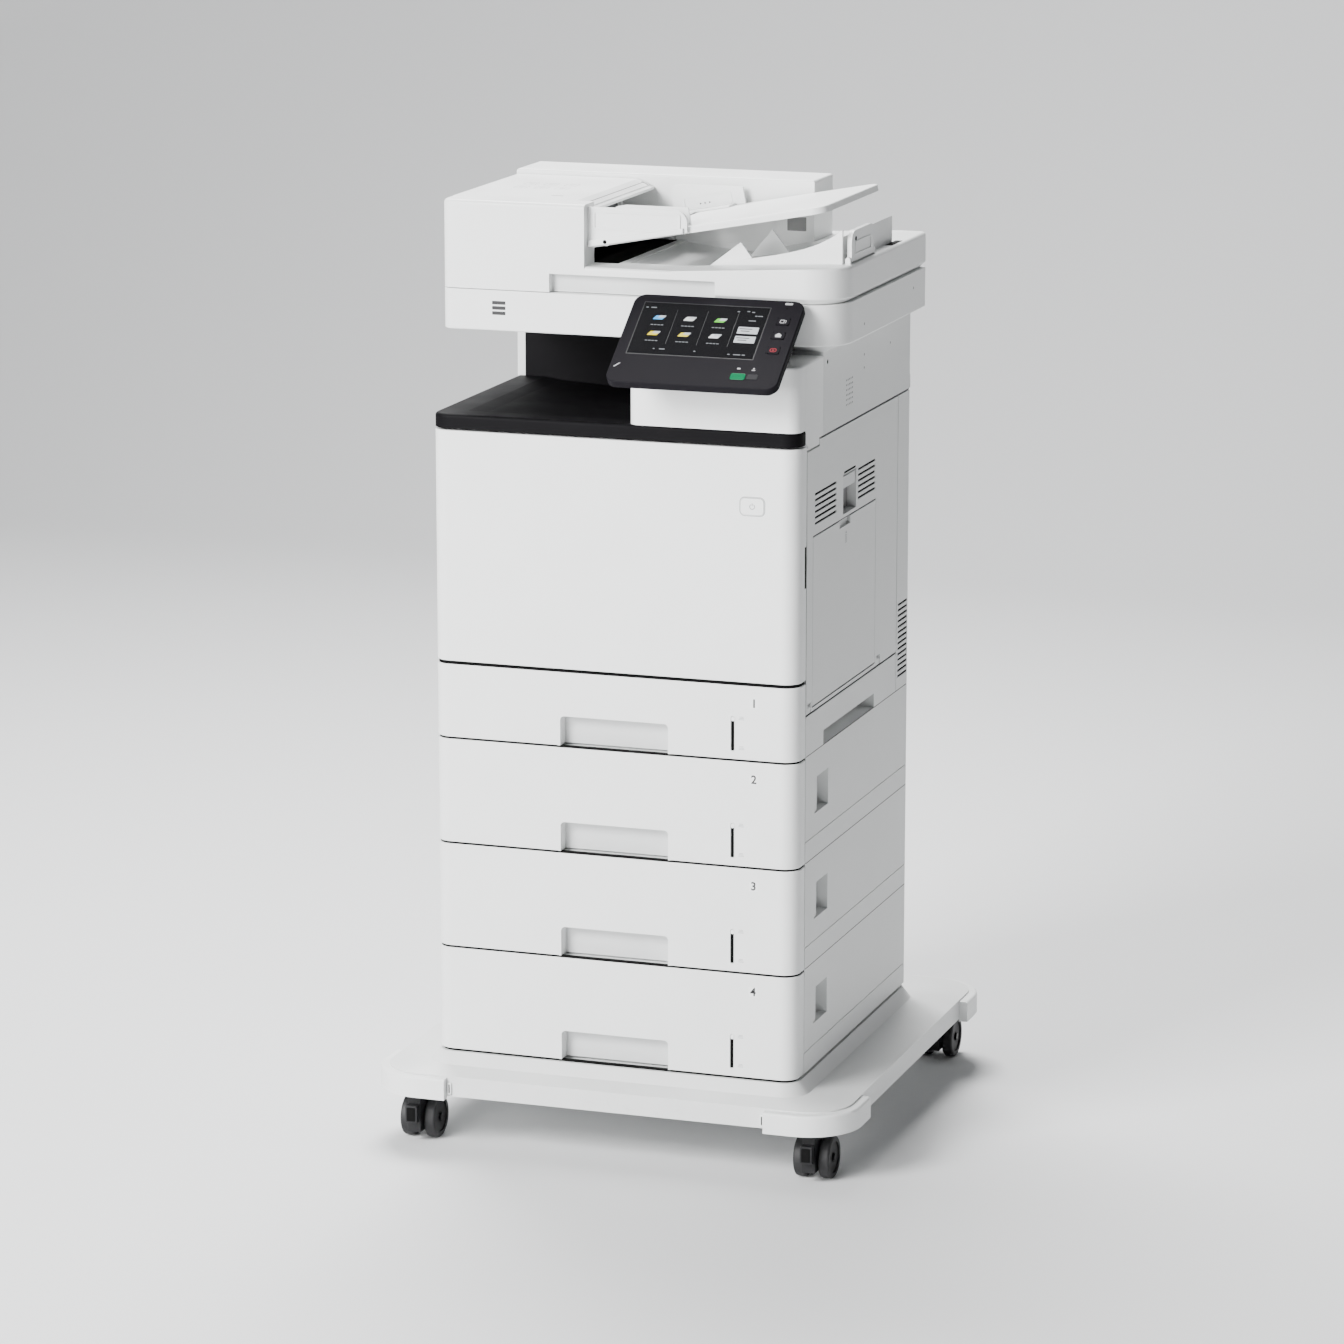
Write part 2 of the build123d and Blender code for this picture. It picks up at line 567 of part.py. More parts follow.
def right_door():
    """Jam access door with the bypass tray's well, latch recess and two louvre groups."""
    y = (HOUSING_Y + 1.0, RIGHT_DOOR_BACK)
    shape = span(RIGHT_DOOR_X, y, (SIDE_Z, COVER_TOP))
    step_z = (COVER_TOP - RIGHT_STEP, COVER_TOP + 1.0)
    shape -= span(grow(RIGHT_DOOR_X, 1.0), (y[0] - 1.0, RIGHT_STEP_Y), step_z)
    hollow_x = (RIGHT_DOOR_X[0] - 1.0, RIGHT_DOOR_X[0] + 9.0)
    shape -= span(hollow_x, grow(y, -SKIN), (SIDE_Z + 14.0, COVER_TOP - RIGHT_STEP - SKIN))
    shape -= span((HALF_W - BYPASS_T - 3.0, HALF_W + 1.0), grow(BYPASS_Y, 1.0), grow(BYPASS_Z, 2.0))
    for pin_y in ((BYPASS_Y[0] - 2.0, BYPASS_Y[0] + 4.0), (BYPASS_Y[1] - 4.0, BYPASS_Y[1] + 2.0)):
        shape += rod("Y", pin_y, BYPASS_AT, BYPASS_PIN_R)
    shape -= span((HALF_W - 15.0, HALF_W + 1.0), grow(LATCH_Y, 1.0), LATCH_RANGE)
    shape += rod("Y", grow(LATCH_Y, 2.0), LATCH_AT, BYPASS_PIN_R)
    for rows in ((BYPASS_Y[0] + 6.0, LATCH_Y[0] - 28.0), (LATCH_Y[1] + 8.0, BYPASS_Y[1] - 3.0)):
        for row in range(6):
            slot_z = LATCH_RANGE[0] + 8.0 + row * LOUVRE_PITCH
            shape -= span((HALF_W - 2.5, HALF_W + 1.0), rows, (slot_z, slot_z + LOUVRE_T))
    for lug_y in LUG_Y:
        ends = (lug_y - LUG_W / 2, lug_y + LUG_W / 2)
        shape -= span(grow(RIGHT_DOOR_X, 1.0), grow(ends, 0.5), (SIDE_Z - 1.0, SIDE_Z + 12.0))
        shape -= rod("Y", grow(ends, 5.0), SIDE_PIVOT, PIN_R + RUNNING)
    return shape


def bypass_tray():
    """Fold-down multi-purpose tray with its pivot bores and a finger dent at the top edge."""
    shape = span((HALF_W - BYPASS_T, HALF_W), BYPASS_Y, BYPASS_Z)
    shape -= rod("Y", grow(BYPASS_Y, 1.0), BYPASS_AT, BYPASS_PIN_R + RUNNING)
    middle = (BYPASS_Y[0] + BYPASS_Y[1]) / 2
    dent_z = (BYPASS_Z[1] - 9.0, BYPASS_Z[1] + 1.0)
    return shape - span((HALF_W - 4.0, HALF_W + 1.0), (middle - 22.0, middle + 22.0), dent_z)


def door_latch():
    """Lever plate at the top of the latch recess, with a bore for the pin it turns on."""
    lever = span((HALF_W - 8.0, HALF_W - 1.0), grow(LATCH_Y, -1.0), (LATCH_AT[1] - 11.0, LATCH_AT[1] + 3.0))
    return lever - rod("Y", LATCH_Y, LATCH_AT, BYPASS_PIN_R + RUNNING)


def output_tray():
    """Black exit tray: front lip and a bowl that slopes down to the right."""
    shape = slab(BODY_X, (0.0, BAY_D), (LIP_Z, BAY_Z), FRONT_R, 0.0)
    lip = shape.faces().sort_by(Axis.Z)[-1].edges()
    shape = fillet(lip.group_by(Axis.Y)[0] + lip.filter_by(GeomType.CIRCLE), 4.0)
    shape -= span((SKIRT_X[0] - 1.0, HALF_W + 1.0), (LIP_WRAP, BAY_D + 1.0), (LIP_Z - 1.0, BAY_Z + 1.0))
    bowl_x = (-HALF_W + 30.0, PANEL_LEFT - 2.0)
    slope = Polyline((bowl_x[0], BAY_Z + 1.0), (bowl_x[0] + 26.0, BAY_Z - 3.0), (bowl_x[1], LIP_Z + 3.0),
                     (bowl_x[1], BAY_Z + 1.0), close=True)
    return shape - run_back(make_face(Plane.XZ * slope), (30.0, BAY_D + 1.0))


def bay_rear_wall():
    """Dark inner wall behind the output bay, with a step along its top."""
    x = (-HALF_W + 10.0, PANEL_LEFT)
    shape = span(x, (BAY_D + 1.0, BAY_D + 5.0), (LIP_Z, SCANNER_Z))
    return shape + span(x, (BAY_D - 3.0, BAY_D + 1.0), (SCANNER_Z - 40.0, SCANNER_Z))


def right_upper_cover():
    """Column that carries the scanner on the right, flared under it, with the speaker grille."""
    x = (PANEL_LEFT, HALF_W)
    outer = slab(x, COLUMN_Y, (BAY_Z, SCANNER_Z), 3.0, 3.0)
    flare_top = plan((PANEL_LEFT, HALF_W + SCANNER_RIGHT - 8.0), (62.0, SCANNER_REAR - 6.0), 20.0, 3.0)
    flare_foot = plan(x, (COLUMN_Y[0], SCANNER_REAR - 40.0), 3.0, 3.0)
    outer += loft([Pos(0, 0, SCANNER_Z - 14.0) * flare_foot, Pos(0, 0, SCANNER_Z) * flare_top])
    shape = outer - span(grow(x, -SKIN), grow(COLUMN_Y, -SKIN), (BAY_Z - 1.0, SCANNER_Z - SKIN))
    for row in range(6):
        for column in range(5):
            at = (190.0 + 6.0 * column, BAY_Z + 4.0 + 6.0 * row)
            shape -= rod("X", (HALF_W - SKIN - 1.0, HALF_W + 1.0), at, 1.4)
    shape += span(x, (BAY_D + 6.0, COLUMN_Y[1]), (LIP_Z, BAY_Z))
    shape += span(SKIRT_X, (COLUMN_Y[0], BAY_D + 7.0), (LIP_Z, BAY_Z + 1.0))
    return shape - rod("X", (HALF_W - 2.0, HALF_W + 1.0), (113.0, SCANNER_Z - 28.0), 3.0)


def panel_base():
    """Block in front of the column, its side skirt, and the post that the control panel tilts on."""
    x = (PANEL_LEFT, HALF_W)
    top = SCANNER_Z - 18.0
    outer = slab(x, BASE_Y, (BAY_Z, top), 14.0, 0.0)
    outer = fillet(outer.faces().sort_by(Axis.Z)[-1].edges(), 3.0)
    shape = outer - slab(grow(x, -SKIN), grow(BASE_Y, -SKIN), (BAY_Z - 1.0, top - SKIN), 11.0, 0.0)
    shape += span(SKIRT_X, (LIP_WRAP + 0.5, BASE_Y[1]), (LIP_Z, BAY_Z + 1.0))
    shape += span(SKIRT_X, (HOUSING_Y + 1.0, RIGHT_STEP_Y - PANEL_GAP), (LIP_Z - RIGHT_STEP, LIP_Z + 1.0))
    shape -= span((HALF_W - 1.0, HALF_W + 1.0), (LIP_WRAP - 0.6, LIP_WRAP + 0.6), (BAY_Z - 1.0, top - 5.0))
    post_x = (PANEL_X - 24.0, PANEL_X + 24.0)
    shape += span(post_x, (PANEL_PIVOT[0] - 7.0, PANEL_PIVOT[0] + 7.0), (top - 1.0, PANEL_PIVOT[1]))
    shape += rod("X", post_x, PANEL_PIVOT, 7.0)
    return shape + rod("X", grow(post_x, 9.0), PANEL_PIVOT, 3.0)


def toner_cartridges():
    """Four toner bottles side by side, each with a flat grip at the front."""
    bottles = []
    for number in range(4):
        x = -165.0 + TONER_PITCH * number
        body = span((x - 33.0, x + 33.0), (58.0, FRAME_BACK - 48.0), (BELT_TOP, BELT_TOP + 86.0))
        body = fillet(body.edges().filter_by(Axis.Y), 14.0)
        bottles.append(body + span((x - 14.0, x + 14.0), (46.0, 59.0), (BELT_TOP + 30.0, BELT_TOP + 62.0)))
    return bottles[0] + bottles[1] + bottles[2] + bottles[3]


def transfer_belt_unit():
    """Belt round two rollers in its frame, on rails over the shelf."""
    frame = span((-205.0, 110.0), (70.0, FRAME_BACK - 40.0), (SHELF_Z + SHEET, BELT_TOP))
    return fillet(frame.edges().filter_by(Axis.Y), 12.0)


def fuser_unit():
    """Heat and pressure rollers in their housing at the top of the paper path."""
    x = (FRAME_RIGHT - 52.0, FRAME_RIGHT - SHEET)
    body = span(x, (56.0, FRAME_BACK - 40.0), (COVER_TOP - 120.0, COVER_TOP - 62.0))
    return fillet(body.edges().filter_by(Axis.Y).group_by(Axis.X)[0], 8.0)


def laser_unit():
    """Sealed laser box under the top plate."""
    z = (COVER_TOP - SHEET - 46.0, COVER_TOP - SHEET)
    return span((-205.0, 125.0), (60.0, FRAME_BACK - 20.0), z)


save("main_frame", main_frame())
save("front_door", front_door())
save("power_button", power_button())
save("left_cover", left_cover())
save("rear_cover", rear_cover())
save("mains_inlet", mains_inlet())
save("right_rear_cover", right_rear_cover())
save("right_lower_cover", right_lower_cover())
save("right_door", right_door())
save("bypass_tray", bypass_tray())
save("door_latch", door_latch())
save("output_tray", output_tray())
save("bay_rear_wall", bay_rear_wall())
save("right_upper_cover", right_upper_cover())
save("panel_base", panel_base())
save("toner_cartridges", toner_cartridges())
save("transfer_belt_unit", transfer_belt_unit())
save("fuser_unit", fuser_unit())
save("laser_unit", laser_unit())


# ---------------------------------------------------------------- scanner and document feeder
SCANNER_X = (-HALF_W, HALF_W + SCANNER_RIGHT)
SCANNER_Y = (SCANNER_FRONT, SCANNER_REAR)
GLASS_X = (-HALF_W + 29.0, -HALF_W + 29.0 + GLASS_W)
GLASS_Y = grow(SCANNER_Y, -GLASS_MARGIN)
LID_PIVOT = (SCANNER_REAR - LID_PIVOT_IN, LID_Z + LID_PIVOT_UP)
LID_LUG_X = (-150.0, 150.0)
LID_PIN_R = 3.0
LIFT_RECESS_X = (-93.0, 113.0)
LIFT_RECESS_Z = (LID_Z - 1.0, LID_Z + 22.0)
DECK_RISE_X = 60.0
DECK_UP = 10.0
COVER_Z = HOOD_TOP - COVER_H
COVER_PIVOT = (-HALF_W + 5.0, COVER_Z + 5.0)
ROLLER_AT = (HOOD_X - 42.0, LID_TOP + 45.0)
ROLLER_PIN_R = 3.0
FEED_PIVOT = (FEED_X, FEED_Z + 4.0)
FEED_LEFT = -19.0
FEED_EARS = ((FEED_Y[0] - 6.0, FEED_Y[0] - 1.0), (FEED_Y[1] + 1.0, DRIVE_Y - 1.5))
STOPPER_Y = (98.0, 188.0)
STOPPER_EARS = ((STOPPER_Y[0] - 6.0, STOPPER_Y[0] - 1.0), (STOPPER_Y[1] + 1.0, STOPPER_Y[1] + 6.0))
STOPPER_BASE = LID_TOP + 12.0
STOPPER_AT = (SCANNER_X[1] - 8.0, STOPPER_BASE + 3.0)
STOPPER_PIN_R = 1.5
RIDGE_X = (100.0, STOPPER_AT[0] - 6.0)
RIDGE_Y = (90.0, DRIVE_Y - 3.0)


def scanner_plan():
    """Outline of scanner and lid: tight left corners, a wide front right corner."""
    face = plan(SCANNER_X, SCANNER_Y, 0.0, 10.0)
    left = face.vertices().group_by(Axis.Y)[0].sort_by(Axis.X)[0]
    face = fillet(left, SCANNER_FRONT_R)
    right = face.vertices().group_by(Axis.Y)[0].sort_by(Axis.X)[-1]
    return fillet(right, SCANNER_RIGHT_R)


def scanner_block(z):
    """Upright block with the scanner's outline."""
    return Pos(0, 0, z[0]) * extrude(scanner_plan(), amount=z[1] - z[0])


def scanner_base():
    """Scanner tub with a rebate for the glass and two hinge posts for the lid."""
    shape = scanner_block((SCANNER_Z, SCANNER_TOP))
    shape = fillet(shape.faces().sort_by(Axis.Z)[0].edges(), 2.0)
    hollow = span(grow(SCANNER_X, -12.0), grow(SCANNER_Y, -14.0), (SCANNER_Z + SKIN, SCANNER_TOP - 5.0))
    corner = rod("Z", (SCANNER_Z, SCANNER_TOP), (SCANNER_X[1], SCANNER_Y[0]), SCANNER_RIGHT_R + 12.0)
    shape -= hollow - corner
    shape -= span(GLASS_X, GLASS_Y, (SCANNER_TOP - GLASS_T, SCANNER_TOP + 1.0))
    shape -= span(grow(GLASS_X, -6.0), grow(GLASS_Y, -6.0), (SCANNER_TOP - 6.0, SCANNER_TOP + 1.0))
    for lug_x in LID_LUG_X:
        ends = (lug_x - 10.0, lug_x + 10.0)
        shape += span(ends, grow((LID_PIVOT[0], LID_PIVOT[0]), 5.5), (SCANNER_TOP - 1.0, LID_PIVOT[1]))
        shape += rod("X", ends, LID_PIVOT, 5.5)
        shape += rod("X", grow(ends, 7.0), LID_PIVOT, LID_PIN_R)
    return shape


def platen_glass():
    """Flat glass in the rebate on top of the scanner."""
    return span(GLASS_X, GLASS_Y, (SCANNER_TOP - GLASS_T, SCANNER_TOP))


def scan_carriage():
    """Lamp and sensor bar that travels under the glass."""
    x = (GLASS_X[0] + 8.0, GLASS_X[0] + 30.0)
    return span(x, grow(GLASS_Y, -10.0), (SCANNER_Z + 8.0, SCANNER_TOP - 10.0))


def lid_bowl():
    """Space scooped out of the lid for delivered originals, seen from the front as one curve."""
    left = HOOD_X + 40.0
    right = SCANNER_X[1] - 30.0
    floor = Spline((left, LID_TOP - 1.0), ((left + right) / 2, LID_TOP - 9.0), (right, LID_TOP + 9.0))
    roof = LID_TOP + 40.0
    top = Polyline((right, LID_TOP + 9.0), (right, roof), (left, roof), (left, LID_TOP - 1.0))
    return run_back(make_face(Plane.XZ * (floor + top)), (HOOD_Y + 12.0, DRIVE_Y - 2.0))


def lid_deck():
    """Platen lid with a softly rounded top edge and a deck that rises towards the right."""
    shape = scanner_block((LID_Z, LID_TOP))
    shape = fillet(shape.faces().sort_by(Axis.Z)[-1].edges(), 4.0)
    shape = chamfer(shape.edges().filter_by(Axis.X).group_by(Axis.Z)[0].sort_by(Axis.Y)[-1], 6.0)
    foot_z, right = LID_TOP - 5.0, SCANNER_X[1]
    rise = Polyline((DECK_RISE_X, foot_z), (DECK_RISE_X, LID_TOP), (right - 30.0, LID_TOP + DECK_UP),
                    (right + 1.0, LID_TOP + DECK_UP), (right + 1.0, foot_z), close=True)
    ramp = run_back(make_face(Plane.XZ * rise), (SCANNER_FRONT, SCANNER_REAR))
    raised = scanner_block((LID_Z, LID_TOP + DECK_UP))
    raised = fillet(raised.faces().sort_by(Axis.Z)[-1].edges(), 4.0)
    drive_x = (SCANNER_X[0], -HALF_W + DRIVE_W + 0.5)
    ramp -= span(drive_x, (DRIVE_Y - 0.5, DRIVE_Y + DRIVE_D + 0.5), (LID_TOP, LID_TOP + 40.0))
    return shape + (ramp & raised)


def delivery_ridge():
    """Concave rise at the right of the bowl, open behind its front wall, that lifts the sheets' ends."""
    left, right = RIDGE_X
    curve = Spline((left, LID_TOP + 2.0), (left + 48.0, LID_TOP + 13.0), (left + 115.0, LID_TOP + 29.0),
                   (right, LID_TOP + 50.0))
    foot = Polyline((right, LID_TOP + 50.0), (right, LID_TOP - 8.0), (left, LID_TOP - 8.0),
                    (left, LID_TOP + 2.0))
    front_wall = run_back(make_face(Plane.XZ * (curve + foot)), (RIDGE_Y[0], RIDGE_Y[0] + 4.0))
    floor = Pos(0, 0, -8.0) * run_back(make_face(Plane.XZ * (curve + foot)), (RIDGE_Y[0] + 3.0, RIDGE_Y[1]))
    return front_wall + (floor & span(RIDGE_X, RIDGE_Y, (LID_TOP - 10.0, LID_TOP + 60.0)))


def tray_wall():
    """Fixed wall in front of the tray's hinge, with a level top edge and a rounded end."""
    left = HOOD_X - 1.0
    top = HOOD_TOP - 4.0
    outline = Polyline((left, LID_TOP + 23.0), (74.0, LID_TOP + 44.0), (74.0, top), (left, top), close=True)
    face = make_face(outline)
    face = fillet(face.vertices().group_by(Axis.X)[-1].sort_by(Axis.Y)[-1], 14.0)
    return run_back(Plane.XZ * face, FEED_EARS[0])


def adf_lid():
    """Feeder body: platen lid, hood, ramp into the mouth and the bowl for delivered originals."""
    shape = lid_deck() - lid_bowl() + delivery_ridge()
    left = SCANNER_X[0]
    hood = scanner_block((LID_Z, HOOD_TOP))
    hood = fillet(hood.faces().sort_by(Axis.Z)[-1].edges(), 5.0)
    shape += hood & span((left - 1.0, HOOD_X), (SCANNER_FRONT - 1.0, HOOD_Y), (LID_Z, HOOD_TOP + 1.0))
    mouth_y = (HOOD_Y - 1.0, DRIVE_Y)
    shape += span((left, left + 8.0), mouth_y, (LID_TOP - 5.0, COVER_Z - 2.5))
    shape += span((left + 7.0, HOOD_X - 60.0), mouth_y, (LID_TOP - 1.0, LID_TOP + 24.0))
    shape += span((HOOD_X - 61.0, HOOD_X), mouth_y, (LID_TOP + 18.0, LID_TOP + 24.0))
    for plate_y in (HOOD_Y + 24.0, DRIVE_Y - 28.0):
        plate_x = (ROLLER_AT[0] - 8.0, ROLLER_AT[0] + 8.0)
        shape += span(plate_x, (plate_y, plate_y + 4.0), (LID_TOP + 23.0, ROLLER_AT[1] + 7.0))
        shape -= rod("Y", (plate_y - 1.0, plate_y + 5.0), ROLLER_AT, ROLLER_PIN_R + RUNNING)
    shape += rod("Y", (HOOD_Y - 1.0, HOOD_Y + 5.0), COVER_PIVOT, PIN_R)
    shape += tray_wall()
    shape += span((FEED_PIVOT[0] - 4.0, FEED_PIVOT[0] + 4.0), FEED_EARS[1], (LID_TOP - 12.0, FEED_PIVOT[1]))
    for ear in FEED_EARS:
        shape += rod("Y", ear, FEED_PIVOT, 4.0)
    for pin_y in ((FEED_EARS[0][1] - 1.0, FEED_Y[0] + 7.0), (FEED_Y[1] - 7.0, FEED_EARS[1][0] + 1.0)):
        shape += rod("Y", pin_y, FEED_PIVOT, PIN_R)
    for ear in STOPPER_EARS:
        shape += span((STOPPER_AT[0] - 3.0, STOPPER_AT[0] + 3.0), ear, (LID_TOP + 9.0, STOPPER_AT[1]))
        shape += rod("Y", ear, STOPPER_AT, 3.0)
    front_pin = (STOPPER_EARS[0][1] - 1.0, STOPPER_Y[0] + 4.0)
    rear_pin = (STOPPER_Y[1] - 4.0, STOPPER_EARS[1][0] + 1.0)
    for pin_y in (front_pin, rear_pin):
        shape += rod("Y", pin_y, STOPPER_AT, STOPPER_PIN_R)
    shape -= span(LIFT_RECESS_X, (SCANNER_FRONT - 1.0, SCANNER_FRONT + 12.0), LIFT_RECESS_Z)
    for lug_x in LID_LUG_X:
        pocket_y = (LID_PIVOT[0] - 9.0, SCANNER_REAR + 1.0)
        shape -= span((lug_x - 12.0, lug_x + 12.0), pocket_y, (LID_Z - 1.0, LID_PIVOT[1] + 9.0))
        shape -= rod("X", (lug_x - 18.0, lug_x + 18.0), LID_PIVOT, LID_PIN_R + RUNNING)
    return shape


def feed_cover():
    """Top of the hood, hinged along its left edge, with a slanted visor over the mouth."""
    y = (HOOD_Y + 1.0, DRIVE_Y - 1.0)
    lip = (HOOD_X - 1.0, HOOD_TOP - 9.0)
    inside = HOOD_TOP - 4.0
    outline = Polyline((-HALF_W, COVER_Z), (-HALF_W, HOOD_TOP), (HOOD_X - 22.0, HOOD_TOP), lip,
                       (lip[0], lip[1] - 3.0), (HOOD_X - 23.0, inside), (-HALF_W + 4.0, inside),
                       (-HALF_W + 4.0, COVER_Z), close=True)
    face = make_face(outline)
    face = fillet(face.vertices().group_by(Axis.X)[0].sort_by(Axis.Y)[-1], 3.5)
    shape = run_back(Plane.XZ * face, y)
    front_end = (y[0], y[0] + 3.0)
    rear_end = (y[1] - 3.0, y[1])
    for end in (front_end, rear_end):
        shape += span((-HALF_W + 3.0, HOOD_X - 50.0), end, (COVER_Z, HOOD_TOP - 3.0))
    for end in ((y[0], front_end[1] + 2.0), (rear_end[0] - 2.0, y[1])):
        shape += rod("Y", end, COVER_PIVOT, 4.5)
        shape -= rod("Y", grow(end, 5.0), COVER_PIVOT, PIN_R + RUNNING)
    return shape


def feed_roller():
    """Pick-up roller on its shaft above the ramp."""
    shaft = rod("Y", (HOOD_Y + 20.0, DRIVE_Y - 20.0), ROLLER_AT, ROLLER_PIN_R)
    for middle in (HOOD_Y + 70.0, DRIVE_Y - 70.0):
        shaft += rod("Y", (middle - 18.0, middle + 18.0), ROLLER_AT, ROLLER_R)
    return shaft


def drive_cover():
    """Housing along the back of the feeder for its motor and belts."""
    x = (-HALF_W, -HALF_W + DRIVE_W)
    y = (DRIVE_Y, DRIVE_Y + DRIVE_D)
    top = LID_TOP + DRIVE_H
    outer = slab(x, y, (LID_TOP, top), 0.0, 6.0)
    outer = fillet(outer.faces().sort_by(Axis.Z)[-1].edges(), 3.0)
    shell = outer - span(grow(x, -SKIN), grow(y, -SKIN), (LID_TOP - 1.0, top - SKIN))
    return shell + rod("Y", (DRIVE_Y - 5.0, DRIVE_Y + 1.0), COVER_PIVOT, PIN_R)


def feed_frame(shape):
    """Move a piece drawn flat, from the tray's lower left edge, onto the tilted tray."""
    return Pos(FEED_X, 0, FEED_Z) * Rot(0, -FEED_TILT, 0) * shape


def document_tray():
    """Tilted tray for originals, with the slot that its side guides run in."""
    flat = span((FEED_LEFT, FEED_L), FEED_Y, (0.0, FEED_T))
    flat = fillet(flat.edges().filter_by(Axis.Z).group_by(Axis.X)[-1], 18.0)
    flat = fillet(flat.faces().sort_by(Axis.Z)[-1].edges().group_by(Axis.X)[-1], 2.0)
    flat -= span((42.0, 50.0), grow(FEED_Y, -20.0), (-1.0, FEED_T + 1.0))
    return feed_frame(flat) - rod("Y", grow(FEED_Y, 1.0), FEED_PIVOT, PIN_R + RUNNING)


def side_guide(front):
    """Sliding paper guide: upright plate, foot on the tray and a key down through the slot."""
    lift = FEED_T + 0.3
    if front:
        plate_y = (FEED_Y[0] + 18.0, FEED_Y[0] + 18.0 + GUIDE_T)
        foot_y = (plate_y[0], plate_y[1] + 28.0)
        key_y = (foot_y[1] - 14.0, foot_y[1] - 6.0)
    else:
        plate_y = (FEED_Y[1] - 6.0, FEED_Y[1] - 6.0 + GUIDE_T)
        foot_y = (plate_y[0] - 28.0, plate_y[1])
        key_y = (foot_y[0] + 6.0, foot_y[0] + 14.0)
    plate = span((8.0, 100.0), plate_y, (lift, lift + GUIDE_H))
    plate = fillet(plate.edges().filter_by(Axis.Y).group_by(Axis.Z)[-1], 6.0)
    plate += span((20.0, 88.0), foot_y, (lift, lift + 2.0))
    plate += span((42.3, 49.7), key_y, (0.5, lift + 1.0))
    return feed_frame(plate) & span((-100.0, 300.0), (0.0, BODY_D), (LID_Z, HOOD_TOP - 3.0))


def document_stopper():
    """Fold-down stop at the right end of the bowl, on two pins."""
    x = (STOPPER_AT[0] - 2.5, STOPPER_AT[0] + 3.0)
    plate = span(x, STOPPER_Y, (STOPPER_BASE, STOPPER_BASE + 36.0))
    plate = fillet(plate.edges().filter_by(Axis.X).group_by(Axis.Z)[-1], 14.0)
    return plate - rod("Y", grow(STOPPER_Y, 1.0), STOPPER_AT, STOPPER_PIN_R + RUNNING)


save("scanner_base", scanner_base())
save("platen_glass", platen_glass())
save("scan_carriage", scan_carriage())
save("adf_lid", adf_lid())
save("feed_cover", feed_cover())
save("feed_roller", feed_roller())
save("drive_cover", drive_cover())
save("document_tray", document_tray())
save("guide_front", side_guide(True))
save("guide_rear", side_guide(False))
save("document_stopper", document_stopper())


# ---------------------------------------------------------------- control panel
SCREEN_AT = (-PANEL_W / 2 + 14.0 + SCREEN_W / 2, PANEL_L / 2 - 13.0 - SCREEN_L / 2)
KEY_AT = {"key_settings": (85.0, 38.0), "key_home": (85.0, 15.0), "key_stop": (85.0, -9.0)}
KEY_GAP = 0.4
POST_R = 7.0
POST_PIN_R = 3.0


def panel_frame(shape):
    """Move a piece drawn flat, with its face up, onto the tilted panel."""
    return Pos(PANEL_X, PANEL_Y, PANEL_Z) * Rot(PANEL_TILT, 0, 0) * shape


def centred(at, size, z):
    """Box given by its middle in x and y, its size in both, and its range in z."""
    x = (at[0] - size[0] / 2, at[0] + size[0] / 2)
    return span(x, (at[1] - size[1] / 2, at[1] + size[1] / 2), z)


def control_panel():
    """Panel shell with a screen rebate, three key wells, and two lugs for the tilt pin."""
    shape = Pos(0, 0, -PANEL_T) * extrude(RectangleRounded(PANEL_W, PANEL_L, 14.0), amount=PANEL_T)
    shape = chamfer(shape.faces().sort_by(Axis.Z)[0].edges(), 7.0)
    shape = fillet(shape.faces().sort_by(Axis.Z)[-1].edges(), 1.5)
    shape -= centred(SCREEN_AT, (SCREEN_W, SCREEN_L), (-2.0, 1.0))
    for at in KEY_AT.values():
        shape -= centred(at, (KEY_W + 2 * KEY_GAP, KEY_L + 2 * KEY_GAP), (-6.0, 1.0))
    shape = panel_frame(shape)
    for side in (-1, 1):
        near = PANEL_X + side * 25.0
        ends = tuple(sorted((near, near + side * 8.0)))
        arm = Pos(0, 0, 7.5) * Box(8.0, 14.0, 15.0)
        shape += rod("X", ends, PANEL_PIVOT, POST_R)
        shape += Pos((ends[0] + ends[1]) / 2, *PANEL_PIVOT) * Rot(PANEL_TILT, 0, 0) * arm
        shape -= rod("X", grow(ends, 1.0), PANEL_PIVOT, POST_PIN_R + RUNNING)
    return shape


def touch_screen():
    """Flat glass over the display, let into the panel."""
    return panel_frame(centred(SCREEN_AT, (SCREEN_W, SCREEN_L), (-2.0, 0.0)))


def panel_key(at):
    """Soft key with rounded corners, standing 0.6 proud of the panel."""
    return panel_frame(Pos(*at, -4.2) * extrude(RectangleRounded(KEY_W, KEY_L, 3.0), amount=4.8))


save("control_panel", control_panel())
save("touch_screen", touch_screen())
for key_name, key_at in KEY_AT.items():
    save(key_name, panel_key(key_at))
print("middle of the whole in y:", MID_Y)
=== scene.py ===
from math import atan2, cos, pi, radians, sin

import bpy
import numpy as np
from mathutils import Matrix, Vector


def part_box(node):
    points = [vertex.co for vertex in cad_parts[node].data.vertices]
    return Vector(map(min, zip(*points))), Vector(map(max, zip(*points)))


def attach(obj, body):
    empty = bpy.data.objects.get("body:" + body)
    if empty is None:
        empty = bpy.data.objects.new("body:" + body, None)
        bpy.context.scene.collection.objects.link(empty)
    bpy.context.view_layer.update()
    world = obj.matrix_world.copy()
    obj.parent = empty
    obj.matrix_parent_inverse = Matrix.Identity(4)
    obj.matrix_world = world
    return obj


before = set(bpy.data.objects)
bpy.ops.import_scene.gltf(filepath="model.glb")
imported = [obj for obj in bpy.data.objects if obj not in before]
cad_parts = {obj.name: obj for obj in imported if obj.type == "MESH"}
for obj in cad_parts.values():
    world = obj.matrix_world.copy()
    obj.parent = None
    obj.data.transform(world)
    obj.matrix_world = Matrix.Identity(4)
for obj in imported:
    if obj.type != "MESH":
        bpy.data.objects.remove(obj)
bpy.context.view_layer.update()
MM = 0.001

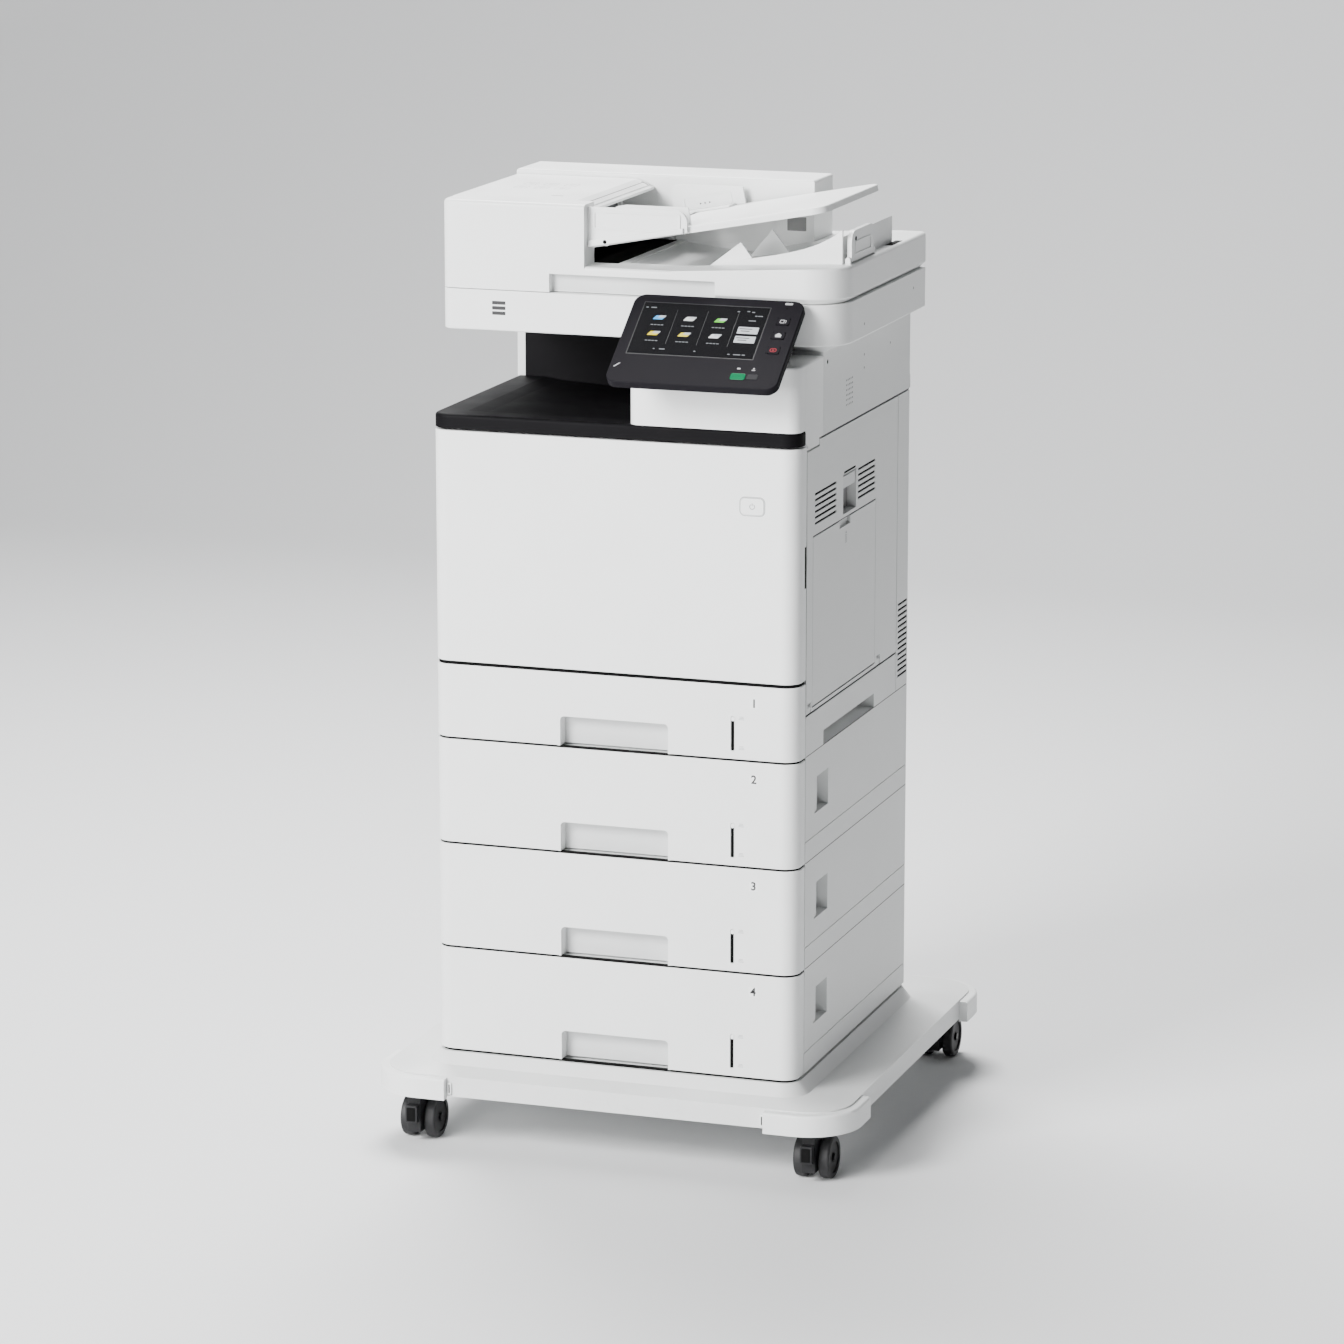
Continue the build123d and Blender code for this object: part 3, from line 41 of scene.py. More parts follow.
# ---------------------------------------------------------------- studio
# A pale sweep of paper under the machine, a large soft key light high on the left front, a weaker
# fill from the front, a soft box above and behind, and a long-lens camera a little above the top of the copier.
LENS = 139.5
CAMERA_AT = (2.016, -5.929, 1.946)
CAMERA_TURN = radians(18.88)
CAMERA_PITCH = radians(12.56)
SWEEP_HALF = 9.0
SWEEP_BACK = 3.2
SWEEP_R = 1.6


def closed_faces(rows, columns, wrap):
    """Quads between neighbouring rows and columns of a grid; wrap joins the last column to the first."""
    last = columns if wrap else columns - 1
    i, j = np.meshgrid(np.arange(rows - 1), np.arange(last), indexing="ij")
    k = (j + 1) % columns
    corners = [i * columns + j, i * columns + k, (i + 1) * columns + k, (i + 1) * columns + j]
    return np.stack(corners, -1).reshape(-1, 4)


def new_object(name, points, faces, material):
    """Object at the origin whose mesh holds these points, with smooth faces and one material."""
    mesh = bpy.data.meshes.new(name)
    mesh.from_pydata(np.asarray(points, float).reshape(-1, 3).tolist(), [], [list(f) for f in faces])
    mesh.materials.append(material)
    mesh.polygons.foreach_set("use_smooth", np.ones(len(mesh.polygons), bool))
    mesh.update()
    obj = bpy.data.objects.new(name, mesh)
    bpy.context.scene.collection.objects.link(obj)
    return obj


def paper_sweep():
    """Backdrop: a floor that turns up behind the machine. The profile is flat, then a quarter circle."""
    turn = np.linspace(0, pi / 2, 24)
    y = np.concatenate([[-SWEEP_HALF], SWEEP_BACK + SWEEP_R * np.sin(turn), [SWEEP_BACK + SWEEP_R]])
    z = np.concatenate([[0.0], SWEEP_R - SWEEP_R * np.cos(turn), [SWEEP_HALF]])
    x = np.array([[-SWEEP_HALF], [SWEEP_HALF]])
    points = np.stack([np.broadcast_to(x, (2, len(y))), np.broadcast_to(y, (2, len(y))),
                       np.broadcast_to(z, (2, len(y)))], -1)
    paper = bpy.data.materials.new("sweep_paper")
    paper.use_nodes = True
    shader = paper.node_tree.nodes["Principled BSDF"]
    shader.inputs["Base Color"].default_value = (0.72, 0.725, 0.73, 1)
    shader.inputs["Roughness"].default_value = 0.85
    new_object("paper_sweep", points, closed_faces(2, len(y), False), paper)


def soft_light(name, at, aim, size, watts, tint=(1, 1, 1)):
    """Rectangular soft box at a point, turned to face another point."""
    data = bpy.data.lights.new(name, "AREA")
    data.shape = "RECTANGLE"
    data.size, data.size_y = size
    data.energy = watts
    data.color = tint
    lamp = bpy.data.objects.new(name, data)
    bpy.context.scene.collection.objects.link(lamp)
    lamp.location = at
    direction = np.array(aim, float) - np.array(at, float)
    flat = float(np.hypot(direction[0], direction[1]))
    lamp.rotation_euler = (atan2(flat, -direction[2]), 0, atan2(direction[1], direction[0]) - pi / 2)
    return lamp


paper_sweep()
soft_light("key_softbox", (-2.2, -4.4, 3.3), (0, 0, 0.75), (2.0, 2.0), 640)
soft_light("front_fill", (-1.0, -5.3, 1.5), (0, 0, 0.8), (1.8, 1.6), 200)
soft_light("top_softbox", (-0.8, 1.5, 3.4), (0, 0.1, 1.0), (1.8, 1.6), 280)

world = bpy.data.worlds.new("studio_air")
bpy.context.scene.world = world
world.use_nodes = True
world.node_tree.nodes["Background"].inputs["Color"].default_value = (0.93, 0.96, 1.0, 1)
world.node_tree.nodes["Background"].inputs["Strength"].default_value = 0.10

camera = bpy.data.objects.new("camera", bpy.data.cameras.new("camera"))
bpy.context.scene.collection.objects.link(camera)
camera.data.lens = LENS
camera.data.sensor_width = 36.0
camera.location = CAMERA_AT
camera.rotation_euler = (pi / 2 - CAMERA_PITCH, 0, CAMERA_TURN)
bpy.context.scene.camera = camera


# ---------------------------------------------------------------- caster base
# A broad injection-moulded platform that spreads the machine's load, with four clip-on corner caps.
# White ABS with a fine spark-eroded texture; shoes and trolleys leave grey scuffs low on its rim.
BASE_WHITE = (0.70, 0.71, 0.705)
CAP_WHITE = (0.80, 0.81, 0.805)
SCUFF_GREY = (0.42, 0.42, 0.42)
SCUFF_TOP = 0.098


def add_node(material, kind, **values):
    """One shader node; values whose names are sockets go on the sockets, the rest on the node."""
    node = material.node_tree.nodes.new(kind)
    for key, value in values.items():
        socket = node.inputs.get(key.replace("_", " ").title())
        if socket is not None:
            socket.default_value = value
        else:
            setattr(node, key, value)
    return node


def new_shader(name):
    """Empty node material with its principled shader and a source of object coordinates."""
    material = bpy.data.materials.new(name)
    material.use_nodes = True
    coords = material.node_tree.nodes.new("ShaderNodeTexCoord")
    return material, material.node_tree.nodes["Principled BSDF"], coords.outputs["Object"]


def speckle(material, coords, size_mm, detail=2.0):
    """Noise whose grains are about size_mm across, as a value from 0 to 1."""
    noise = add_node(material, "ShaderNodeTexNoise", scale=1000.0 / size_mm, detail=detail, roughness=0.55)
    material.node_tree.links.new(coords, noise.inputs["Vector"])
    return noise.outputs["Fac"]


def scaled(material, value, low, high, span=(0.3, 0.7)):
    """A value moved from one range to another, held at both ends."""
    node = add_node(material, "ShaderNodeMapRange")
    node.inputs["From Min"].default_value, node.inputs["From Max"].default_value = span
    node.inputs["To Min"].default_value, node.inputs["To Max"].default_value = low, high
    material.node_tree.links.new(value, node.inputs["Value"])
    return node.outputs["Result"]


def blended(material, factor, under, over):
    """Two colours mixed by a factor; either may be a fixed colour or the output of a node."""
    node = add_node(material, "ShaderNodeMix", data_type="RGBA")
    material.node_tree.links.new(factor, node.inputs["Factor"])
    for socket, colour in ((node.inputs[6], under), (node.inputs[7], over)):
        if isinstance(colour, tuple):
            socket.default_value = (*colour, 1)
        else:
            material.node_tree.links.new(colour, socket)
    return node.outputs[2]


def moulded_plastic(name, colour, rough, texture_mm=0.8, depth_mm=0.012, shade=0.03, scuffs=None, shine=0.5):
    """Moulded plastic: fine texture in the bump, cloudy gloss, slight shade drift and optional scuffs.

    scuffs = (colour, top of the scuffed band in metres): marks thin out with height up to that top."""
    material, shader, coords = new_shader(name)
    links = material.node_tree.links
    cloud = speckle(material, coords, 70.0, 3.0)
    grain = speckle(material, coords, texture_mm)
    darker = tuple(c * (1 - shade) for c in colour)
    lighter = tuple(min(1.0, c * (1 + shade * 0.6)) for c in colour)
    tone = blended(material, scaled(material, cloud, 0.0, 1.0), darker, lighter)
    if scuffs:
        marks = speckle(material, coords, 9.0, 8.0)
        place = add_node(material, "ShaderNodeSeparateXYZ")
        links.new(coords, place.inputs[0])
        low = scaled(material, place.outputs["Z"], 1.0, 0.0, (scuffs[1] * 0.55, scuffs[1]))
        both = add_node(material, "ShaderNodeMath", operation="MULTIPLY")
        links.new(scaled(material, marks, 0.0, 0.30, (0.60, 0.74)), both.inputs[0])
        links.new(low, both.inputs[1])
        tone = blended(material, both.outputs[0], tone, scuffs[0])
    links.new(tone, shader.inputs["Base Color"])
    links.new(scaled(material, cloud, rough - 0.05, rough + 0.07), shader.inputs["Roughness"])
    bump = add_node(material, "ShaderNodeBump", strength=0.5, distance=depth_mm * MM)
    links.new(grain, bump.inputs["Height"])
    links.new(bump.outputs[0], shader.inputs["Normal"])
    shader.inputs["Specular IOR Level"].default_value = shine
    return material


def dress(material, *nodes):
    """Put one material in every slot of these CAD nodes."""
    for node in nodes:
        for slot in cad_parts[node].material_slots:
            slot.material = material


base_plastic = moulded_plastic("base_plastic", BASE_WHITE, 0.48, 0.9, 0.02, scuffs=(SCUFF_GREY, SCUFF_TOP))
cap_plastic = moulded_plastic("cap_plastic", CAP_WHITE, 0.45, 0.9, 0.02, scuffs=(SCUFF_GREY, SCUFF_TOP))
dress(base_plastic, "base_platform")
dress(cap_plastic, "base_corner_caps")

FACES = {
    "front": ((1, 0, 0), (0, 0, 1), (0, -1, 0)),
    "rear": ((-1, 0, 0), (0, 0, 1), (0, 1, 0)),
    "right": ((0, 1, 0), (0, 0, 1), (1, 0, 0)),
    "left": ((0, -1, 0), (0, 0, 1), (-1, 0, 0)),
    "top": ((1, 0, 0), (0, 1, 0), (0, 0, 1)),
    "under": ((1, 0, 0), (0, -1, 0), (0, 0, -1)),
}


def laid(points, at, face):
    """Points given as across, up and out in millimetres, laid on a face of the machine at a place."""
    across, up, out = (np.array(direction, float) for direction in FACES[face])
    flat = np.asarray(points, float) * MM
    return np.array(at, float) + flat[..., :1] * across + flat[..., 1:2] * up + flat[..., 2:3] * out


def rounded_outline(width, height, radius, steps=6, middle=(0.0, 0.0)):
    """Anticlockwise rectangle with quarter-circle corners, as points across and up."""
    turn = (np.arange(4)[:, None] * pi / 2 + np.linspace(0, pi / 2, steps)[None, :]).reshape(-1)
    sign_x = np.repeat([1, -1, -1, 1], steps)
    sign_y = np.repeat([1, 1, -1, -1], steps)
    return np.stack([middle[0] + sign_x * (width / 2 - radius) + radius * np.cos(turn),
                     middle[1] + sign_y * (height / 2 - radius) + radius * np.sin(turn)], -1)


def ring_outline(radius, steps=32, middle=(0.0, 0.0)):
    """Anticlockwise circle."""
    turn = np.arange(steps) * 2 * pi / steps
    return np.stack([middle[0] + radius * np.cos(turn), middle[1] + radius * np.sin(turn)], -1)


def inset(outline, by):
    """Each point moved inwards along the bisector of its corner, so that every side moves in by the same."""
    before = outline - np.roll(outline, 1, 0)
    after = np.roll(outline, -1, 0) - outline
    before /= np.maximum(np.linalg.norm(before, axis=1, keepdims=True), 1e-9)
    after /= np.maximum(np.linalg.norm(after, axis=1, keepdims=True), 1e-9)
    inward = np.stack([-(before + after)[:, 1], (before + after)[:, 0]], -1)
    length = np.linalg.norm(inward, axis=1, keepdims=True)
    inward /= np.maximum(length, 1e-9)
    return outline + inward * by / np.maximum(length / 2, 0.5)


def plate(outline, thickness, edge=0.0, sunk=0.3):
    """Closed plate: the outline carried up a profile that starts sunk below the face, rises to the
    thickness and turns over its edge in a quarter circle; both ends are closed by one flat face."""
    turn = np.linspace(0, pi / 2, 4) if edge > 0 else np.array([0.0])
    insets = np.concatenate([[0.0], edge * (1 - np.cos(turn))])
    heights = np.concatenate([[-sunk], thickness - edge + edge * np.sin(turn)])
    rings = np.stack([np.column_stack([inset(outline, by), np.full(len(outline), up)])
                      for by, up in zip(insets, heights)])
    count = len(outline)
    faces = closed_faces(len(rings), count, True).tolist()
    faces.append(list(range(count))[::-1])
    faces.append([(len(rings) - 1) * count + i for i in range(count)])
    return rings.reshape(-1, 3), faces


def gathered(parts):
    """Several (points, faces) meshes as one."""
    points, faces, start = [], [], 0
    for part_points, part_faces in parts:
        points.append(np.asarray(part_points, float).reshape(-1, 3))
        faces += [[start + i for i in face] for face in part_faces]
        start += len(points[-1])
    return np.concatenate(points), faces


def piece(name, mesh, at, face, material, body):
    """New piece laid on a face of the machine; it rides on a body and takes the given material, with flat faces.
    """
    obj = new_object(name, laid(mesh[0], at, face), mesh[1], material)
    flat = obj.data.polygons
    flat.foreach_set("use_smooth", np.zeros(len(flat), bool))
    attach(obj, body)
    return obj


def hollow_black(name):
    """Painted shade for the inside of a slot or a screw hole: matt black that takes almost no light."""
    return moulded_plastic(name, (0.003, 0.003, 0.003), 0.8, 0.5, 0.01, shine=0.1)


slot_shadow = hollow_black("slot_shadow")
base_front_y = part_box("base_platform")[0].y
caps_low, caps_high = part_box("base_corner_caps")
CAP_REACH = 103 * MM
TONGUE_AT = 4 * MM
RIM_MIDDLE_Z = (caps_low.z + caps_high.z) / 2
for side, face_x in (("left", caps_low.x + CAP_REACH), ("right", caps_high.x - CAP_REACH)):
    outward = 1 if side == "left" else -1
    tongue = plate(rounded_outline(5, 15, 1.5), 3.0, 1.0)
    tongue_at = (face_x + outward * TONGUE_AT, base_front_y, RIM_MIDDLE_Z)
    piece(f"cap_tongue_{side}", tongue, tongue_at, "front", cap_plastic, "tower")
    slit = plate(rounded_outline(1.6, 11, 0.7), 3.2, 0.2)
    piece(f"cap_slit_{side}", slit, tongue_at, "front", slot_shadow, "tower")


# ---------------------------------------------------------------- casters
# Four swivel casters: a glass-filled nylon fork over twin wheels with a soft polyurethane tread.
# The wheels clip on a steel axle; a ring is moulded round each face and the brake tab has a frame.
NYLON_BLACK = (0.009, 0.009, 0.010)
TREAD_BLACK = (0.012, 0.012, 0.013)
FLOOR_DUST = (0.06, 0.058, 0.056)
nylon = moulded_plastic("caster_nylon", NYLON_BLACK, 0.42, 0.5, 0.02, 0.1, shine=0.3)
tread = moulded_plastic("caster_tread", TREAD_BLACK, 0.62, 0.4, 0.03, 0.15, scuffs=(FLOOR_DUST, 0.03))


def turned(profile, steps=48):
    """Surface of revolution about the outward direction: profile rows are (radius, height) in order
    from the middle of the face outwards, and the end rings are closed by one flat face each."""
    turn = np.arange(steps) * 2 * pi / steps
    radius, height = np.array(profile, float).T
    points = np.stack([radius[:, None] * np.cos(turn), radius[:, None] * np.sin(turn),
                       np.broadcast_to(height[:, None], (len(radius), steps))], -1)
    faces = closed_faces(len(radius), steps, True)[:, ::-1].tolist()
    faces.append([i for i in range(steps)])
    faces.append([(len(radius) - 1) * steps + i for i in range(steps)][::-1])
    return points.reshape(-1, 3), faces


HUB_SUNK = 3.2 * MM
BRAKE_TAB_Z = 39 * MM
HUB_CAP = ((2.0, 1.2), (6.5, 1.2), (7.2, 0.4), (8.0, 0.2), (15.0, 0.2), (15.8, 1.0), (17.2, 1.0), (18.0, -0.6))
for corner in ("front_left", "front_right", "rear_left", "rear_right"):
    dress(nylon, f"caster_fork_{corner}")
    dress(tread, f"caster_wheels_{corner}")
    wheel_low, wheel_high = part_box(f"caster_wheels_{corner}")
    fork_low, fork_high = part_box(f"caster_fork_{corner}")
    middle_y = (wheel_low.y + wheel_high.y) / 2
    middle_z = (wheel_low.z + wheel_high.z) / 2
    for face, face_x in (("right", wheel_high.x - HUB_SUNK), ("left", wheel_low.x + HUB_SUNK)):
        piece(f"hub_cap_{corner}_{face}", turned(HUB_CAP), (face_x, middle_y, middle_z), face,
              nylon, f"wheels_{corner}")
    tab_at = ((fork_low.x + fork_high.x) / 2, fork_low.y, BRAKE_TAB_Z)
    frame_outer = plate(rounded_outline(15, 21, 2.0), 0.9, 0.3)
    piece(f"brake_frame_{corner}", frame_outer, tab_at, "front", nylon, f"caster_{corner}")
    piece(f"brake_pad_{corner}", plate(rounded_outline(11, 17, 1.2), 1.6, 0.4), tab_at, "front",
          slot_shadow, f"caster_{corner}")


# ---------------------------------------------------------------- cassettes
# Four paper drawers: a wrap-round front screwed to an open tray. White ABS fronts with the number on
# a small label, a paper level window with a white float, and printed full and empty marks.
FRONT_WHITE = (0.81, 0.82, 0.815)
TRAY_GREY = (0.50, 0.51, 0.51)
PRINT_DARK = (0.006, 0.006, 0.007)
PRINT_GREY = (0.26, 0.27, 0.28)
NUMBER_SIZE = 10.0
NUMBER_X, NUMBER_DOWN = 405 * MM, 21 * MM
POCKET_X, POCKET_DEEP, POCKET_Z = 230 * MM, 17.8 * MM, 17.3 * MM
WINDOW_X, WINDOW_Z = 378.5 * MM, 31 * MM
FLOAT_Z = 48.6 * MM
MARK_X, MARK_PITCH = 11 * MM, 1.6
GAP_SHADOW_BACK, GAP_SHADOW_H = 1.6 * MM, 2.1
STACK_BACK, STACK_DOWN = 3 * MM, 2.9 * MM
front_plastic = moulded_plastic("front_plastic", FRONT_WHITE, 0.42, 0.7, 0.012, 0.015)
tray_plastic = moulded_plastic("tray_plastic", TRAY_GREY, 0.5, 0.8, 0.02)
label_film = moulded_plastic("label_film", (0.86, 0.87, 0.87), 0.3, 0.4, 0.003, 0.01)
dark_print = moulded_plastic("dark_print", PRINT_DARK, 0.5, 0.4, 0.004)
grey_print = moulded_plastic("grey_print", PRINT_GREY, 0.5, 0.4, 0.004)


def zinc_sheet(name):
    """Zinc-coated sheet: bright metal with a soft patchwork of crystals and fine rolling lines."""
    material, shader, coords = new_shader(name)
    links = material.node_tree.links
    crystals = add_node(material, "ShaderNodeTexVoronoi", scale=90.0)
    links.new(coords, crystals.inputs["Vector"])
    tone = blended(material, scaled(material, crystals.outputs["Distance"], 0.0, 1.0, (0.1, 0.9)),
                   (0.50, 0.51, 0.53), (0.66, 0.67, 0.68))
    links.new(tone, shader.inputs["Base Color"])
    links.new(scaled(material, speckle(material, coords, 14.0, 4.0), 0.28, 0.42), shader.inputs["Roughness"])
    lines = add_node(material, "ShaderNodeBump", strength=0.25, distance=0.01 * MM)
    links.new(speckle(material, coords, 0.6), lines.inputs["Height"])
    links.new(lines.outputs[0], shader.inputs["Normal"])
    shader.inputs["Metallic"].default_value = 1.0
    return material


zinc = zinc_sheet("zinc_sheet")
# Painted shade: mid-grey plates on the back walls of the grip and lift recesses, for the shade in them.
pocket_shade = moulded_plastic("pocket_shade", (0.60, 0.61, 0.61), 0.5, 0.8, 0.02)


def flat_text(name, text, height_mm, at, face, material, body):
    """Printed sign: text made a mesh, 0.06 mm thick, with its middle at a place on a face."""
    curve = bpy.data.curves.new(name, "FONT")
    curve.body = text
    curve.size = height_mm * 1.42
    curve.extrude = 0.06
    curve.offset = height_mm * 0.03
    curve.align_x = "CENTER"
    curve.align_y = "CENTER"
    curve.resolution_u = 4
    writer = bpy.data.objects.new(name, curve)
    bpy.context.scene.collection.objects.link(writer)
    bpy.context.view_layer.update()
    mesh = bpy.data.meshes.new_from_object(writer.evaluated_get(bpy.context.evaluated_depsgraph_get()))
    points = np.array([v.co for v in mesh.vertices], float)
    faces = [list(p.vertices) for p in mesh.polygons]
    bpy.data.objects.remove(writer)
    bpy.data.meshes.remove(mesh)
    return piece(name, (points, faces), at, face, material, body)


def frame_ring(outline, width, thickness, sunk=0.3):
    """Closed frame: an outline and the same outline moved inwards by the width, joined into a square tube."""
    inner = inset(outline, width)
    levels = ((outline, -sunk), (outline, thickness), (inner, thickness), (inner, -sunk))
    rings = np.stack([np.column_stack([line, np.full(len(line), up)]) for line, up in levels])
    faces = closed_faces(5, len(outline), True) % (4 * len(outline))
    return rings.reshape(-1, 3), faces.tolist()


def wrap_band(half_width, depth, radius, wall):
    """U-shaped band seen from above: across the front, round both corners and back along the sides.
    It is a path with quarter-circle corners and the same path moved inwards by the wall."""
    turn = np.linspace(0, pi / 2, 8)
    left = np.stack([-half_width + radius - radius * np.cos(turn), radius - radius * np.sin(turn)], -1)
    outer = np.concatenate([[(-half_width, depth)], left, (left * (-1, 1))[::-1], [(half_width, depth)]])
    shrink = radius - wall
    near = np.stack([-half_width + radius - shrink * np.cos(turn), radius - shrink * np.sin(turn)], -1)
    inner = np.concatenate([[(-half_width + wall, depth)], near, (near * (-1, 1))[::-1],
                            [(half_width - wall, depth)]])
    return np.concatenate([outer, inner[::-1]])


for number in (1, 2, 3, 4):
    body = f"cassette_{number}"
    dress(front_plastic, f"cassette_{number}_front")
    dress(tray_plastic, f"cassette_{number}_tray")
    dress(zinc, f"cassette_{number}_lift_plate")
    low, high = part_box(f"cassette_{number}_front")
    # Painted shadow: a dark U-shaped band set back at the top of each drawer front, for the shade in the gap above
    # it.
    band = plate(wrap_band(227.4, 31.0, 18.4, 6.0), GAP_SHADOW_H, 0.0, 0.2)
    piece(f"gap_shadow_{number}", band, (0, low.y + GAP_SHADOW_BACK, high.z), "top",
          slot_shadow, body)
    # The back of the grip pocket is painted shade in mid-grey.
    pocket = plate(rounded_outline(134, 34, 4.0), 0.3)
    piece(f"grip_back_{number}", pocket, (low.x + POCKET_X, low.y + POCKET_DEEP, low.z + POCKET_Z), "front",
          pocket_shade, body)
    number_at = (low.x + NUMBER_X, low.y, high.z - NUMBER_DOWN)
    piece(f"number_label_{number}", plate(rounded_outline(11, 12, 0.8), 0.08), number_at, "front",
          label_film, body)
    if number == 4:
        # Painted shadow: a dark band under drawer 4 for the shade in the gap above the plinth.
        stack_band = plate(wrap_band(226.0, 30.0, 17.0, 5.0), 2.4, 0.0, 0.2)
        piece("stack_shadow", stack_band, (0, low.y + STACK_BACK, low.z - STACK_DOWN), "top",
              slot_shadow, "tower")
    flat_text(f"number_{number}", str(number), NUMBER_SIZE, (number_at[0], low.y - 0.1 * MM, number_at[2]),
              "front", dark_print, body)
    window_x, window_z = low.x + WINDOW_X, low.z + WINDOW_Z
    piece(f"level_well_{number}", plate(rounded_outline(4.6, 42.1, 0.2), 0.2),
          (window_x, low.y + 2.6 * MM, window_z), "front", slot_shadow, body)
    piece(f"level_bezel_{number}", frame_ring(rounded_outline(6.6, 44.0, 3.0), 1.0, 0.35),
          (window_x, low.y, window_z), "front", front_plastic, body)
    piece(f"level_float_{number}", plate(rounded_outline(4.0, 5.5, 1.6), 2.2, 0.5),
          (window_x, low.y + 2.4 * MM, low.z + FLOAT_Z), "front", label_film, body)
    marks = []
    for mark_z in (12.5, 48.5):
        for row in range(3):
            marks.append(plate(rounded_outline(7 - row, 0.5, 0.1, 2, (0, mark_z + MARK_PITCH * row)), 0.05))
    piece(f"level_marks_{number}", gathered(marks), (window_x + MARK_X, low.y, low.z), "front",
          grey_print, body)


# ---------------------------------------------------------------- paper feeders
# Three feeder bodies stacked under the main unit, screwed together through their rear corners.
# White ABS over a steel tray; each side has a moulded grip with a spring flap.
SIDE_WHITE = (0.70, 0.71, 0.705)
GRIP_BACK, GRIP_DEEP, GRIP_Z = 66 * MM, 13.5 * MM, 75 * MM
side_plastic = moulded_plastic("side_plastic", SIDE_WHITE, 0.46, 0.8, 0.016, 0.02)
for number in (2, 3, 4):
    node = f"feeder_{number}_housing"
    dress(side_plastic, node)
    low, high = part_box(node)
    grip_y = low.y + GRIP_BACK
    for face, x, inward in (("right", high.x, -1), ("left", low.x, 1)):
        flap = plate(rounded_outline(36, 40, 3.0), 1.0, 0.8)
        piece(f"grip_floor_{number}_{face}", flap, (x + inward * GRIP_DEEP, grip_y, low.z + GRIP_Z), face,
              side_plastic, "tower")


# ---------------------------------------------------------------- main unit covers
# White covers clipped and screwed to a folded steel chassis: the toner door in front, the jam door
# with its bypass tray on the right, and fixed panels on the left and behind.
GLOSS_WHITE = (0.82, 0.83, 0.825)
NOTCH_DOWN, NOTCH_BACK = 144 * MM, 29.95 * MM
satin_white = moulded_plastic("satin_white", GLOSS_WHITE, 0.36, 0.7, 0.008, 0.012)
dress(zinc, "main_frame")
dress(front_plastic, "front_door")
dress(satin_white, "power_button")
dress(side_plastic, "left_cover", "rear_cover", "right_rear_cover", "right_lower_cover", "right_door",
      "bypass_tray", "right_upper_cover")
dress(front_plastic, "panel_base")
latch_plastic = moulded_plastic("latch_plastic", (0.62, 0.63, 0.63), 0.45, 0.7, 0.012)
dress(latch_plastic, "door_latch")
inlet_plastic = moulded_plastic("inlet_plastic", (0.02, 0.02, 0.022), 0.4, 0.5, 0.01)
dress(inlet_plastic, "mains_inlet")


def arc_strip(radius, width, start, end, steps=24, middle=(0.0, 0.0)):
    """Outline of part of a ring, from one angle to another, anticlockwise."""
    turn = np.linspace(start, end, steps)
    outer = np.stack([np.cos(turn), np.sin(turn)], -1) * (radius + width / 2)
    inner = np.stack([np.cos(turn), np.sin(turn)], -1)[::-1] * (radius - width / 2)
    return np.concatenate([outer, inner]) + np.array(middle)


def power_sign(size):
    """Power symbol: an open ring with a short bar at its gap."""
    ring = plate(arc_strip(size / 2, size * 0.16, pi / 2 + 0.6, pi / 2 + 2 * pi - 0.6), 0.06)
    bar = plate(rounded_outline(size * 0.16, size * 0.55, size * 0.05, 3, (0.0, size * 0.42)), 0.06)
    return gathered([ring, bar])


low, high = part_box("power_button")
button_at = ((low.x + high.x) / 2, low.y, (low.z + high.z) / 2)
piece("power_sign", power_sign(6.0), button_at, "front", grey_print, "power_button")
low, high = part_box("front_door")
notch_at = (high.x - 0.5 * MM, low.y + NOTCH_BACK, high.z - NOTCH_DOWN)
piece("door_finger_well", plate(rounded_outline(6.2, 50.2, 1.0), 0.2), notch_at, "right",
      slot_shadow, "front_door")
piece("power_ring", frame_ring(rounded_outline(31.5, 23.0, 6.5), 0.8, 0.12), (button_at[0], low.y, button_at[2]),
      "front", grey_print, "front_door")

# Thin dark strips set back in the joints and slots of the covers stand for the shadow in them. Each
# one rides on a cover that it touches.
SEAM_W, SEAM_DEEP = 1.5, 1.0
SEAM_FRONT_Y, DOOR_FRONT_Y, DOOR_BACK_Y = 34.35, 35.3, 409.25
DOOR_TOP_GAP, DOOR_FOOT_GAP = 1.7, 1.65
LOUVRE_PITCH, LOUVRE_T = 7.0, 2.6
HOLE_PITCH = 6.0
FACE_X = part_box("right_door")[1].x
FRONT_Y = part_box("front_door")[0].y
seam_grey = moulded_plastic("seam_grey", (0.05, 0.05, 0.05), 0.8, 0.5, 0.01, shine=0.1)
# Painted shade: the darker grey below is laid on the floors of recesses for the shade in them; the same grey also
# colours the screw heads.
recess_shade_and_screw_grey = moulded_plastic("recess_shade_and_screw_grey", (0.22, 0.22, 0.22), 0.6, 0.8, 0.02)


def side_mark(name, mesh, y, z, material, body, depth=0.0):
    """Piece on the right side, at millimetres behind the front face and above the floor."""
    return piece(name, mesh, (FACE_X - depth * MM, FRONT_Y + y * MM, z * MM), "right", material, body)


